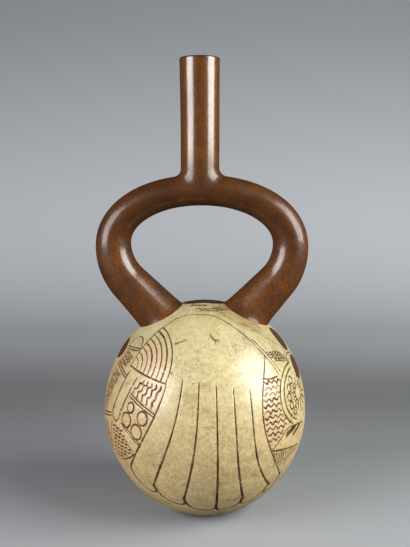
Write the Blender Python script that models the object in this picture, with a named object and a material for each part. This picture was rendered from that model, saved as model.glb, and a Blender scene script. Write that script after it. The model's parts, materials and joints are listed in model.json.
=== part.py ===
"""A stirrup-spout bottle of slip-painted, burnished clay: one hollow piece, fired as one.

An egg-shaped body stands on a small flat underside.  Two round arms rise from its shoulders,
bow outwards and meet in an arch, and the arch carries one straight spout.  The body, the arms
and the spout are hollow and open into each other, and the only way in is the spout's mouth.

Metres, +Z up.  The body's own axis is Z, the underside is at Z = 0, and the arch lies in the
X-Z plane.  The stirrup was set on by hand, so it sits a little to -X and leans a little.
"""

import math

import bmesh
import bpy
import numpy as np

MM = 0.001

# Body: two half ovals turned about Z, meeting at the belly.
BODY_RADIUS = 63.5 * MM
BELLY_HEIGHT = 62.0 * MM
CROWN_HEIGHT = 132.0 * MM
KEEL_DEPTH = 3.7 * MM  # how far the lower oval would run on below the flat underside
UPPER_POWER = 2.12  # 2 is an ellipse, and more is squarer
LOWER_POWER = 1.84
BODY_WALL = 5.0 * MM
UNDERSIDE_EDGE = 1.0 * MM  # rounding between the underside and the side

# Stirrup: each arm's middle line is a quarter oval over the top, a round bow at its widest and a
# straight leg down into the shoulder.
ARCH_HEIGHT = 201.0 * MM  # the middle line's top
BOW_HEIGHT = 167.0 * MM
BOW_REACH = 55.0 * MM  # from the stirrup's middle to the middle line at its widest
ARCH_POWER = 2.1
BOW_RADIUS = 34.0 * MM
LEG_LEAN = 43.0  # degrees from upright
ROOT_HEIGHT = 113.0 * MM  # inside the body
ARCH_HALF_THICKNESS = 9.4 * MM
ROOT_HALF_THICKNESS = 15.4 * MM
ARCH_HALF_DEPTH = 11.0 * MM
ROOT_HALF_DEPTH = 19.0 * MM
SADDLE_SWELL = 1.2 * MM  # more depth under the spout
SADDLE_SHARE = 0.3  # the part of an arm that the saddle takes
TUBE_WALL = 4.0 * MM
STIRRUP_SHIFT = -2.2 * MM  # the arch's middle, measured from the body's axis
STIRRUP_LEAN = 0.0114  # how far the arms come back to +X for each metre below the arch

# Spout: a straight tube on the arch, gathered into it by a small web at each side.
SPOUT_SHIFT = -3.2 * MM
SPOUT_RADIUS = 11.7 * MM
RIM_HEIGHT = 280.0 * MM
RIM_ROUNDING = 1.0 * MM
BORE_RADIUS = 8.0 * MM
BORE_FLARE = 0.7 * MM
WEB_REACH = 4.0 * MM
WEB_HEIGHT = 5.0 * MM

# Facets
BODY_SIDES = 60
HOLLOW_SIDES = 40
HALF_OVAL_RINGS = 11
HOLLOW_HALF_RINGS = 8
TUBE_SIDES = 20
TUBE_RINGS_AN_ARM = 20
LINE_STEPS = 200  # points along each curve of the middle line before it is read evenly
BORE_SIDES = 14
SPOUT_SIDES = 36
SPOUT_BORE_SIDES = 24
CORNER_STEPS = 3

CREAM_SLIP = (0.70, 0.58, 0.33, 1.0)
RED_BROWN_SLIP = (0.13, 0.04, 0.012, 1.0)
CREAM_INDEX = 0
RED_INDEX = 1


def clear_scene():
    """Remove every object that the file opened with."""
    for item in list(bpy.data.objects):
        bpy.data.objects.remove(item, do_unlink=True)


def clay_material(name, colour, roughness):
    """Return a burnished clay material."""
    material = bpy.data.materials.new(name)
    material.use_nodes = True
    shader = material.node_tree.nodes["Principled BSDF"]
    shader.inputs["Base Color"].default_value = colour
    shader.inputs["Roughness"].default_value = roughness
    shader.inputs["Metallic"].default_value = 0.0
    material.diffuse_color = colour
    return material


def add_object(name, mesh, material_index):
    """Link a mesh as an object, painted all over with one of the two slips."""
    item = bpy.data.objects.new(name, mesh)
    bpy.context.scene.collection.objects.link(item)
    for slip in SLIPS:
        mesh.materials.append(slip)
    for polygon in mesh.polygons:
        polygon.material_index = material_index
    return item


def oval_radius(height, inset):
    """Radius of the body at a height, or of a shape that lies inside it by inset."""
    widest = BODY_RADIUS - inset
    if height >= BELLY_HEIGHT:
        share = (height - BELLY_HEIGHT) / (CROWN_HEIGHT - inset - BELLY_HEIGHT)
        power = UPPER_POWER
    else:
        share = (BELLY_HEIGHT - height) / (BELLY_HEIGHT + KEEL_DEPTH - inset)
        power = LOWER_POWER
    return widest * math.sqrt(max(0.0, 1.0 - share**power))


def oval_profile(inset, half_rings, floor_edge):
    """Points (radius, height) down the body's side, from its crown to the middle of its floor."""
    floor = inset
    crown = CROWN_HEIGHT - inset
    points = [(0.0, crown)]
    for step in range(1, half_rings + 1):
        angle = math.radians(90.0) * (1.0 - step / half_rings)
        height = BELLY_HEIGHT + (crown - BELLY_HEIGHT) * math.sin(angle)
        points.append((oval_radius(height, inset), height))
    for step in range(1, half_rings + 1):
        angle = math.radians(90.0) * step / half_rings
        height = BELLY_HEIGHT + (floor + floor_edge - BELLY_HEIGHT) * math.sin(angle)
        points.append((oval_radius(height, inset), height))
    if floor_edge > 0.0:
        points.append((oval_radius(floor, inset) - floor_edge, floor))
    points.append((0.0, floor))
    return points


def turned_mesh(name, profile, sides):
    """Spin a profile, which starts and ends on Z, into a closed mesh."""
    shape = bmesh.new()
    corners = [shape.verts.new((radius, 0.0, height)) for radius, height in profile]
    edges = [shape.edges.new(pair) for pair in zip(corners, corners[1:])]
    bmesh.ops.spin(
        shape,
        geom=corners + edges,
        axis=(0.0, 0.0, 1.0),
        cent=(0.0, 0.0, 0.0),
        angle=2.0 * math.pi,
        steps=sides,
        use_merge=True,
    )
    bmesh.ops.remove_doubles(shape, verts=shape.verts, dist=0.01 * MM)
    bmesh.ops.recalc_face_normals(shape, faces=shape.faces)
    mesh = bpy.data.meshes.new(name)
    shape.to_mesh(mesh)
    shape.free()
    return mesh


def arm_line():
    """Rows (x, z) down one arm's middle line, from the top of the arch to the root."""
    sweep = np.radians(np.linspace(90.0, 0.0, LINE_STEPS))
    over_x = BOW_REACH * np.cos(sweep).clip(0.0) ** (2.0 / ARCH_POWER)
    over_z = BOW_HEIGHT + (ARCH_HEIGHT - BOW_HEIGHT) * np.sin(sweep) ** (2.0 / ARCH_POWER)
    lean = math.radians(LEG_LEAN)
    turn = np.linspace(0.0, lean, LINE_STEPS)[1:]
    bow_x = BOW_REACH - BOW_RADIUS * (1.0 - np.cos(turn))
    bow_z = BOW_HEIGHT - BOW_RADIUS * np.sin(turn)
    root_x = bow_x[-1] - (bow_z[-1] - ROOT_HEIGHT) * math.tan(lean)
    x = np.concatenate((over_x, bow_x, [root_x]))
    z = np.concatenate((over_z, bow_z, [ROOT_HEIGHT]))
    return np.stack((x, z), axis=-1)


def stirrup_path(wall):
    """Rows (x, z, half thickness, half depth) from the root of the -X arm to that of the +X arm."""
    line = arm_line()
    steps = np.linalg.norm(np.diff(line, axis=0), axis=1)
    reach = np.concatenate(([0.0], np.cumsum(steps)))
    share = np.linspace(0.0, 1.0, TUBE_RINGS_AN_ARM + 1)
    x = np.interp(share * reach[-1], reach, line[:, 0])
    z = np.interp(share * reach[-1], reach, line[:, 1])
    thick = ARCH_HALF_THICKNESS + (ROOT_HALF_THICKNESS - ARCH_HALF_THICKNESS) * share**2
    deep = ARCH_HALF_DEPTH + (ROOT_HALF_DEPTH - ARCH_HALF_DEPTH) * share**4
    deep += SADDLE_SWELL * (1.0 - share / SADDLE_SHARE).clip(0.0) ** 2
    arm = np.stack((x, z, thick - wall, deep - wall), axis=-1)
    far_arm = arm[:0:-1] * (-1.0, 1.0, 1.0, 1.0)
    path = np.concatenate((far_arm, arm))
    path[:, 0] += STIRRUP_SHIFT + STIRRUP_LEAN * (ARCH_HEIGHT - path[:, 1])
    return path


def tube_mesh(name, path, sides):
    """Carry an oval ring along a path in the X-Z plane, and close both ends."""
    heading = np.gradient(path[:, :2], axis=0)
    heading /= np.linalg.norm(heading, axis=1)[:, None]
    shape = bmesh.new()
    rings = []
    for (x, z, thick, deep), (along_x, along_z) in zip(path, heading):
        ring = []
        for step in range(sides):
            angle = 2.0 * math.pi * step / sides
            out = thick * math.cos(angle)
            place = (x - along_z * out, deep * math.sin(angle), z + along_x * out)
            ring.append(shape.verts.new(place))
        rings.append(ring)
    for ring, following in zip(rings, rings[1:]):
        for i in range(sides):
            j = (i + 1) % sides
            shape.faces.new((ring[i], ring[j], following[j], following[i]))
    shape.faces.new(rings[0])
    shape.faces.new(rings[-1])
    bmesh.ops.recalc_face_normals(shape, faces=shape.faces)
    mesh = bpy.data.meshes.new(name)
    shape.to_mesh(mesh)
    shape.free()
    return mesh


def rounded_corner(radius, height, rounding):
    """Points (radius, height) round the outer edge of a rim, from its side to its top."""
    points = []
    for step in range(CORNER_STEPS + 1):
        angle = math.radians(90.0) * step / CORNER_STEPS
        across = radius - rounding + rounding * math.cos(angle)
        points.append((across, height - rounding + rounding * math.sin(angle)))
    return points


def spout_mesh():
    """Turn the spout, and draw its foot out to both sides into the arch."""
    foot = ARCH_HEIGHT
    arch_top = foot + ARCH_HALF_THICKNESS
    web_heights = [arch_top - WEB_HEIGHT / 2.0 + WEB_HEIGHT * i / 4.0 for i in range(7)]
    side = [(SPOUT_RADIUS, height) for height in [foot] + web_heights]
    profile = [(0.0, foot)] + side + rounded_corner(SPOUT_RADIUS, RIM_HEIGHT, RIM_ROUNDING)
    mesh = turned_mesh("spout", profile + [(0.0, RIM_HEIGHT)], SPOUT_SIDES)
    web_top = web_heights[-1]
    for vertex in mesh.vertices:
        x, y, z = vertex.co
        low = min(1.0, max(0.0, (web_top - z) / (web_top - web_heights[0])))
        turned_to_side = x * x / max(x * x + y * y, MM * MM)
        vertex.co.x = x * (1.0 + WEB_REACH / SPOUT_RADIUS * low**3 * turned_to_side)
    mesh.update()
    return mesh


def spout_bore_mesh():
    """Turn the cutter for the spout's bore, which flares a little at the mouth."""
    bottom = ARCH_HEIGHT
    profile = [
        (0.0, bottom),
        (BORE_RADIUS, bottom),
        (BORE_RADIUS, RIM_HEIGHT - RIM_ROUNDING),
        (BORE_RADIUS + BORE_FLARE, RIM_HEIGHT),
        (BORE_RADIUS + BORE_FLARE, RIM_HEIGHT + BODY_WALL),
        (0.0, RIM_HEIGHT + BODY_WALL),
    ]
    return turned_mesh("spout_bore", profile, SPOUT_BORE_SIDES)


def join_to(target, tool, operation):
    """Add or cut the tool shape, and hide it."""
    boolean = target.modifiers.new(f"{operation.lower()} {tool.name}", "BOOLEAN")
    boolean.operation = operation
    boolean.solver = "EXACT"
    boolean.object = tool
    tool.hide_render = True
    tool.display_type = "WIRE"


def build_vessel():
    """Build the bottle: the clay's outer shapes joined, then its hollows cut from them."""
    outside = oval_profile(0.0, HALF_OVAL_RINGS, UNDERSIDE_EDGE)
    body_mesh = turned_mesh("stirrup_spout_vessel", outside, BODY_SIDES)
    vessel = add_object("stirrup_spout_vessel", body_mesh, CREAM_INDEX)

    inside = oval_profile(BODY_WALL, HOLLOW_HALF_RINGS, 0.0)
    hollow = add_object("body_hollow", turned_mesh("body_hollow", inside, HOLLOW_SIDES), CREAM_INDEX)

    arms = tube_mesh("stirrup", stirrup_path(0.0), TUBE_SIDES)
    stirrup = add_object("stirrup", arms, RED_INDEX)
    channel = tube_mesh("stirrup_bore", stirrup_path(TUBE_WALL), BORE_SIDES)
    stirrup_bore = add_object("stirrup_bore", channel, RED_INDEX)

    spout = add_object("spout", spout_mesh(), RED_INDEX)
    spout.location.x = SPOUT_SHIFT
    spout_bore = add_object("spout_bore", spout_bore_mesh(), RED_INDEX)
    spout_bore.location.x = SPOUT_SHIFT

    join_to(vessel, stirrup, "UNION")
    join_to(vessel, spout, "UNION")
    join_to(vessel, hollow, "DIFFERENCE")
    join_to(vessel, stirrup_bore, "DIFFERENCE")
    join_to(vessel, spout_bore, "DIFFERENCE")
    vessel.data.shade_smooth()
    vessel.data.set_sharp_from_angle(angle=math.radians(40.0))
    return vessel


clear_scene()
SLIPS = (
    clay_material("cream slip over fired clay", CREAM_SLIP, 0.38),
    clay_material("red-brown burnished slip", RED_BROWN_SLIP, 0.28),
)
build_vessel()
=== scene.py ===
# %% [markdown]
# # A stirrup-spout bottle
#
# This notebook makes the looks of one hollow clay bottle.  Its egg-shaped body is covered with a
# cream slip and carries a picture in fine incised lines, which are rubbed with dark pigment.  Two
# red-brown arms rise from the shoulders and meet in an arch, and a straight spout stands on it.
# The solid that fixes every size is loaded first, and the fine surface is made inside its box.

# %% Load the frame
import json
import math

import bpy
import numpy as np
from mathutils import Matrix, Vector
from mathutils.geometry import delaunay_2d_cdt

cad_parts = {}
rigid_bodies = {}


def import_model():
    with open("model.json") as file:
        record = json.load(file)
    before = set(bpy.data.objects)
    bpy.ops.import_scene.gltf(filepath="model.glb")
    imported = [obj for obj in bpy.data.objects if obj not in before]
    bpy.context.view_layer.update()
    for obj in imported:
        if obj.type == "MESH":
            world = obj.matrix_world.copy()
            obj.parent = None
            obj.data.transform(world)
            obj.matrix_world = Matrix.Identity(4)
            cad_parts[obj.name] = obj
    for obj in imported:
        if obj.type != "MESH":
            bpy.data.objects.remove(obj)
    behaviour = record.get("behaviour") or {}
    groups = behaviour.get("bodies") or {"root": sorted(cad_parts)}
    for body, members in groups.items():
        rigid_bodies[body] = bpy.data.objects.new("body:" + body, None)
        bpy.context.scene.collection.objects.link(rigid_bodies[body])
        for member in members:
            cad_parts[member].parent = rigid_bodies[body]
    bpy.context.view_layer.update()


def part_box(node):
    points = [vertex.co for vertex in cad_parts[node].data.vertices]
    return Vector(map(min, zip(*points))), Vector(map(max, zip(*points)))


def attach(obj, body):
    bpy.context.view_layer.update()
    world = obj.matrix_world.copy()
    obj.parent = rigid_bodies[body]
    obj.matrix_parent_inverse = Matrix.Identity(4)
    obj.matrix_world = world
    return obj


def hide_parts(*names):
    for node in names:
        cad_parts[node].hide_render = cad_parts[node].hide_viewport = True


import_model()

VESSEL = "stirrup_spout_vessel"
MM = 0.001
low, high = (np.array(corner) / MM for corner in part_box(VESSEL))
RIM = high[2]
GIRTH = (high[1] - low[1]) / 2.0
print(f"rim at {RIM:.1f} mm, widest radius {GIRTH:.1f} mm")

# %% [markdown]
# ## The outline of the body
#
# The body is turned about its own axis, so one outline says everything: two half ovals that meet
# at the belly.  A place on the clay is named by two numbers.  `turn` is the angle round the body
# in degrees, 0 at the front and growing towards +X, and `down` is the distance in millimetres
# from the crown, measured along the clay.  All shapes are worked out in millimetres and become
# metres when the mesh is made.  A turned shape could also be made with the Screw modifier, but
# a formula lets the arms, the picture and the body share exact points.

# %% The body's two ovals
BELLY = 62.0  # height of the widest place
CROWN = 132.0
KEEL = 3.7  # how far the lower oval would run on below the floor
UPPER_POWER = 2.12  # 2 is an ellipse, and more is squarer
LOWER_POWER = 1.84
FOOT_RADIUS = 19.0
FOOT_EDGE = 1.0  # rounding between the side and the underside
BODY_WALL = 5.0
OVAL_STEPS = 4000
EDGE_STEPS = 59


def oval(height, inset):
    """Radius at a height: the widest radius times the root of one less the height's share of its
    half oval, raised to that half's power."""
    above = np.clip((height - BELLY) / (CROWN - inset - BELLY), 0.0, 1.0)
    below = np.clip((BELLY - height) / (BELLY + KEEL - inset), 0.0, 1.0)
    share = np.where(height >= BELLY, above**UPPER_POWER, below**LOWER_POWER)
    return (GIRTH - inset) * np.sqrt(1.0 - share)


def so_far(steps):
    """The sum of the steps before each point, so 0 at the first."""
    return np.concatenate(([0.0], np.cumsum(steps)))


class Outline:
    """The body's outline from crown to foot, as a table read by the distance down.

    `spread` is the same point's radius on a flat map that keeps every angle: its logarithm
    grows by each step's length over the radius, so small shapes keep their form on the map."""

    def __init__(self, inset):
        sweep = np.radians(np.linspace(0.0, 90.0, OVAL_STEPS + 1))[1:]
        floor = max(inset, FOOT_EDGE)
        upper = BELLY + (CROWN - inset - BELLY) * np.cos(sweep)
        lower = BELLY - (BELLY - floor) * np.sin(sweep)
        self.height = np.concatenate((upper, lower))
        self.radius = oval(self.height, inset)
        if inset == 0.0:
            bend = np.linspace(0.0, 1.0, EDGE_STEPS + 1)[1:]
            curl = self.radius[-1] * (1.0 - bend**2) + FOOT_RADIUS * bend**2
            self.radius = np.concatenate((self.radius, curl))
            self.height = np.concatenate((self.height, FOOT_EDGE * (1.0 - bend) ** 2))
        out, up = np.diff(self.radius), np.diff(self.height)
        steps = np.hypot(out, up)
        across = self.radius[1:] + self.radius[:-1]
        self.down = self.radius[0] + so_far(steps)
        self.log_spread = np.log(self.radius[0]) + so_far(2.0 * steps / across)
        self.area = so_far(steps * across * np.pi)
        middle = (self.down[1:] + self.down[:-1]) / 2.0
        self.normal_out = np.interp(self.down, middle, -up / steps)
        self.normal_up = np.interp(self.down, middle, out / steps)

    def place(self, turn, down, sink=0.0):
        """The point at (turn, down), sunk into the clay by some millimetres."""
        angle = np.radians(turn)
        radius, height, normal_out, normal_up = (
            np.interp(down, self.down, column)
            for column in (self.radius, self.height, self.normal_out, self.normal_up))
        out = radius - sink * normal_out
        return np.stack((out * np.sin(angle), -out * np.cos(angle), height - sink * normal_up), axis=-1)

    def flat(self, turn, down):
        """The place of (turn, down) on the flat map that keeps angles."""
        angle = np.radians(turn)
        spread = np.exp(np.interp(down, self.down, self.log_spread))
        return np.stack((spread * np.sin(angle), -spread * np.cos(angle)), axis=-1)

    def find(self, points):
        """Rows of (turn, down) for points that lie on the clay."""
        turn = np.degrees(np.arctan2(points[:, 0], -points[:, 1]))
        return np.stack((turn, np.interp(-points[:, 2], -self.height, self.down)), axis=-1)


skin = Outline(0.0)
lining = Outline(BODY_WALL)
print(f"from crown to foot along the clay: {skin.down[-1]:.1f} mm")

# %% [markdown]
# ## The stirrup and the spout
#
# The stirrup is a fat round tube bent into an arch and set on the shoulders by hand, so it sits a
# little to one side and leans a little.  Each arm's middle line is a quarter oval over the top, a
# round bow at its widest and a straight leg.  A Bezier curve with a bevel would give a tube of one
# thickness; this tube swells towards its feet, so an oval ring is carried along the line instead.

# %% The stirrup's middle line
ARCH_HEIGHT = 201.0  # of the middle line's top
BOW_HEIGHT = 167.0
BOW_REACH = 55.0  # from the stirrup's middle to the middle line at its widest
ARCH_POWER = 2.1
BOW_RADIUS = 34.0
LEG_LEAN = math.radians(43.0)  # from upright
ROOT_HEIGHT = 113.0  # inside the body
ARCH_HALF_THICKNESS = 9.4
ROOT_HALF_THICKNESS = 15.4
ARCH_HALF_DEPTH = 11.0
ROOT_HALF_DEPTH = 19.0
SADDLE_SWELL = 1.2  # more depth under the spout
SADDLE_SHARE = 0.3  # the part of an arm that the saddle takes
TUBE_WALL = 4.0
STIRRUP_SHIFT = -2.2  # from the body's axis
STIRRUP_LEAN = 0.0114  # how far the arms come back for each millimetre below the arch
SPOUT_SHIFT = -3.2
SPOUT_RADIUS = 11.85
BORE_RADIUS = 8.0
CURVE_STEPS = 400
ARM_STEPS = 2000


def read(where, reach, rows):
    """Every column of a table, read between its rows at some places along it."""
    return [np.interp(where, reach, column) for column in rows.T]


def arm_path(count):
    """Rows (x, z, half thickness, half depth) from the top of the arch to an arm's root.  The
    thickness grows with the square of the share of the way, and the depth with its fourth power."""
    sweep = np.radians(np.linspace(90.0, 0.0, CURVE_STEPS))
    over_x = BOW_REACH * np.cos(sweep).clip(0.0) ** (2.0 / ARCH_POWER)
    over_z = BOW_HEIGHT + (ARCH_HEIGHT - BOW_HEIGHT) * np.sin(sweep) ** (2.0 / ARCH_POWER)
    turn = np.linspace(0.0, LEG_LEAN, CURVE_STEPS)[1:]
    bow_x = BOW_REACH - BOW_RADIUS * (1.0 - np.cos(turn))
    bow_z = BOW_HEIGHT - BOW_RADIUS * np.sin(turn)
    root_x = bow_x[-1] - (bow_z[-1] - ROOT_HEIGHT) * math.tan(LEG_LEAN)
    line = np.stack((np.concatenate((over_x, bow_x, [root_x])),
                     np.concatenate((over_z, bow_z, [ROOT_HEIGHT]))), axis=-1)
    reach = so_far(np.linalg.norm(np.diff(line, axis=0), axis=1))
    share = np.linspace(0.0, 1.0, count)
    x, z = read(share * reach[-1], reach, line)
    thick = ARCH_HALF_THICKNESS + (ROOT_HALF_THICKNESS - ARCH_HALF_THICKNESS) * share**2
    deep = ARCH_HALF_DEPTH + (ROOT_HALF_DEPTH - ARCH_HALF_DEPTH) * share**4
    deep += SADDLE_SWELL * (1.0 - share / SADDLE_SHARE).clip(0.0) ** 2
    return np.stack((x, z, thick, deep), axis=-1)


arm = arm_path(ARM_STEPS + 1)
path = np.concatenate((arm[:0:-1] * (-1.0, 1.0, 1.0, 1.0), arm))
path[:, 0] += STIRRUP_SHIFT + STIRRUP_LEAN * (ARCH_HEIGHT - path[:, 1])
heading = np.gradient(path[:, :2], axis=0)
heading /= np.linalg.norm(heading, axis=1)[:, None]
along = so_far(np.linalg.norm(np.diff(path[:, :2], axis=0), axis=1))
along -= along[ARM_STEPS]
print(f"the stirrup's middle line is {along[-1] - along[0]:.0f} mm long")

# %% The tube round the line
LOOP_SIDES = 108
LOOP_ANGLES = np.linspace(-180.0, 180.0, LOOP_SIDES + 1)
FOOT_FLARE = {-1: 0.8, 1: 1.5}  # extra thickness at the left foot and the right
FLARE_LENGTH = 1.8
FLARE_AT_SIDES = 0.4  # the share of it at the arm's inner and outer sides
bare_seams = {}  # where the arms without their flare meet the body, filled in below


def flare(distance, around):
    """Extra thickness near an arm's foot: it falls off with the exponential of the way left to the
    clay, and is full in front and behind and less at the arm's inner and outer sides."""
    grow = 0.0
    for side, seam_distance in bare_seams.items():
        left = side * (np.interp(around, LOOP_ANGLES, seam_distance) - distance)
        grow = grow + FOOT_FLARE[side] * np.exp(-left.clip(0.0) / FLARE_LENGTH)
    return grow * (FLARE_AT_SIDES + (1.0 - FLARE_AT_SIDES) * np.sin(np.radians(around)) ** 2)


def tube(distance, around, wall):
    """Oval ring carried along the middle line: from the line's point, go out of the arch by the
    half thickness times the cosine of the angle, and back by the half depth times its sine."""
    grow = flare(distance, around) if wall == 0.0 else 0.0
    x, z, thick, deep = read(distance, along, path)
    along_x, along_z = read(distance, along, heading)
    angle = np.radians(around)
    out = (thick - wall + grow) * np.cos(angle)
    return np.stack((x - along_z * out, (deep - wall + grow) * np.sin(angle), z + along_x * out), axis=-1)


# %% [markdown]
# ## Patches
#
# The bottle's skin is made of a few patches: the body, the stirrup, the foot of the spout, the
# spout, the underside, and the same again inside.  Where two patches meet they use the very same
# points, so they weld into one closed skin.  A patch that has holes, or fine lines that need many
# points, is cut into triangles by Delaunay's rule on its flat map; the others are plain grids.
# Each patch also has its own place on one square sheet, which is the piece's UV map.

# %% A store for the patches
SHEET = 378.0  # millimetres along a side of the square sheet
RED_COLUMN = (206.0, 78.0)  # left edge and width of the red-brown patches on it
BARE_COLUMN = (340.0, 34.0)  # and of the small bare ones
CREAM, RED, BARE = 0, 1, 2  # the finishes, in the order of the mesh's materials
patches = []


def keep_patch(points, triangles, sheet, finish, inwards=False, **marks):
    """Store a patch.  `sheet` gives each corner of each triangle its place in mm on the sheet."""
    if inwards:
        triangles, sheet = triangles[:, ::-1], sheet[:, ::-1]
    patches.append((points, triangles, sheet / SHEET, finish, marks))


def grid_triangles(rows, columns):
    """Two triangles for each cell of a grid whose points are numbered row by row."""
    corner = (np.arange(rows - 1)[:, None] * columns + np.arange(columns - 1)).ravel()
    first = np.stack((corner, corner + 1, corner + columns + 1), axis=-1)
    second = np.stack((corner, corner + columns + 1, corner + columns), axis=-1)
    return np.concatenate((first, second))


def keep_grid(points, column, bottom, height, finish, inwards=False, **marks):
    """Store a grid patch (rows x columns x 3) in one rectangle of a column of the sheet."""
    rows, columns = points.shape[:2]
    across = column[0] + column[1] * np.linspace(0.0, 1.0, columns)
    upwards = bottom + height * np.linspace(0.0, 1.0, rows)
    spots = np.stack(np.meshgrid(across, upwards), axis=-1).reshape(-1, 2)
    triangles = grid_triangles(rows, columns)
    keep_patch(points.reshape(-1, 3), triangles, spots[triangles], finish, inwards, **marks)


# %% Cutting a patch into triangles
SAME_POINT = 1e-7  # points closer than this on the flat map are one


def tied(rings):
    """Edges that tie each ring's points in order.  A ring is its number of points and whether it
    closes, and the numbers run on from ring to ring."""
    edges, start = [], 0
    for count, closed in rings:
        number = np.arange(count - 1 + closed)
        edges += (start + np.stack((number, (number + 1) % count), axis=-1)).tolist()
        start += count
    return edges


def cut_triangles(flat, edges):
    """Delaunay triangles of flat points, with the given pairs of points kept as edges."""
    made = delaunay_2d_cdt(flat.tolist(), edges, [], 0, SAME_POINT, True)
    source = np.array([numbers[0] for numbers in made[3]])
    return source[np.array(made[2])]


def holds(outline, points):
    """True for points inside a closed outline: a line from the point crosses it an odd number
    of times."""
    first, second = outline, np.roll(outline, -1, axis=0)
    x, y = points[:, None, 0], points[:, None, 1]
    spans = (first[:, 1] > y) != (second[:, 1] > y)
    rise = np.where(first[:, 1] == second[:, 1], 1.0, second[:, 1] - first[:, 1])
    crossing = first[:, 0] + (y - first[:, 1]) * (second[:, 0] - first[:, 0]) / rise
    return (np.sum(spans & (x < crossing), axis=1) % 2).astype(bool)


# %% [markdown]
# ## Where the arms meet the body
#
# Each line along the arm, one for every angle round the tube, runs down until it dips into the
# body.  The function below finds those points for all angles at once: it takes many places along
# each line, asks which are already inside the body, and reads the crossing between the last
# place outside and the first place inside.  A Boolean modifier would find the same line, but its
# points would not be known beforehand, and both patches need them.

# %% The seam loops
SEAM_FROM = 60.0  # where the search starts, in millimetres from the top of the arch
SEAM_PLACES = 1200


def seam(side, wall, outline):
    """Distance along the arm, at each ring angle, where the tube enters the turned body."""
    reach = np.linspace(SEAM_FROM, 0.999 * abs(along[0]), SEAM_PLACES)[:, None] * side
    points = tube(reach, LOOP_ANGLES, wall)
    body_radius = np.interp(-points[..., 2], -outline.height, outline.radius)
    body_radius = np.where(points[..., 2] > outline.height[0], -1.0, body_radius)
    gap = np.hypot(points[..., 0], points[..., 1]) - body_radius
    first = np.argmax(gap < 0.0, axis=0)
    column = np.arange(len(LOOP_ANGLES))
    outside, inside = gap[first - 1, column], gap[first, column]
    share = outside / (outside - inside)
    return reach[first - 1, 0] * (1.0 - share) + reach[first, 0] * share


# The first pass meets the body without the flare, which is then measured from those seams.
bare_seams = {side: seam(side, 0.0, skin) for side in (-1, 1)}
outer_seams = {side: seam(side, 0.0, skin) for side in (-1, 1)}
inner_seams = {side: seam(side, TUBE_WALL, lining) for side in (-1, 1)}
for side, distances in outer_seams.items():
    loop = tube(distances, LOOP_ANGLES, 0.0)
    print(f"seam {side:+d}: x {loop[:, 0].min():.1f} to {loop[:, 0].max():.1f},"
          f" z {loop[:, 2].min():.1f} to {loop[:, 2].max():.1f} mm")

# %% [markdown]
# ## The pen
#
# The maker cut the picture into the leather-hard slip with a sharp point and rubbed dark pigment
# into the cuts.  Here each stroke is a smooth line through a few places on the clay.  It is read
# at even steps of 0.7 mm, and given a half width that swells and thins as a hand does.  The
# strokes become real grooves: the body's triangles get rows of points along both of their edges.
# An image of the picture would be easier, but grooves stay sharp and take the light.

# %% Curves on the clay
DEGREE = math.pi / 180.0


def degree_at(down):
    """Millimetres of clay in one degree of turn: the radius there times a degree in radians."""
    return np.interp(down, skin.down, skin.radius) * DEGREE


def smooth_through(places, count):
    """A curve through a few places, read at count even shares.  Each stretch is a cubic whose
    slope at a place is half the way from the place before it to the place after it."""
    rows = np.array(places, float)
    rows = np.concatenate((2.0 * rows[:1] - rows[1:2], rows, 2.0 * rows[-1:] - rows[-2:-1]))
    where = np.linspace(0.0, len(places) - 1.0, count)
    span = np.minimum(where.astype(int), len(places) - 2)
    part = (where - span)[:, None]
    before, start, end, after = (rows[span + i] for i in range(4))
    bend = 2.0 * before - 5.0 * start + 4.0 * end - after
    twist = 3.0 * (start - end) + after - before
    return start + 0.5 * part * (end - before + part * (bend + part * twist))


def measured(rows):
    """How far along the clay each (turn, down) of a line lies from its start."""
    points = skin.place(rows[:, 0], rows[:, 1])
    return so_far(np.linalg.norm(np.diff(points, axis=0), axis=1))


def headings(turn, down):
    """Unit steps along a line of (turn, down), and square across it, in millimetres."""
    forward = np.stack((np.gradient(turn) * degree_at(down), np.gradient(down)))
    forward /= np.maximum(np.hypot(*forward), 1e-9)
    return forward, np.stack((-forward[1], forward[0]))


def shifted(turn, down, across, forward, offset, ahead=0.0):
    """Rows of (turn, down), moved by millimetres across and ahead of a line's heading."""
    aside = offset * across[0] + ahead * forward[0]
    onward = offset * across[1] + ahead * forward[1]
    return np.stack((turn + aside / degree_at(down), down + onward), axis=-1)


def ripple(where, beat, size, length):
    """A sine of a size along a line, which takes a length in millimetres for each radian."""
    return size * np.sin(where / length + beat)


# %% The pen itself
STEP = 0.7  # millimetres between the places of a stroke
CURVE_PLACES = 160
STRAIGHT_PLACES = 40
SLOW_SWELL = (0.12, 2.3)  # share of the width, and millimetres for a radian
QUICK_SWELL = (0.06, 0.9)
FADING = (0.07, 3.7)  # the same for the darkness
TAPER = 1.6  # millimetres over which an end thins


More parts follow.
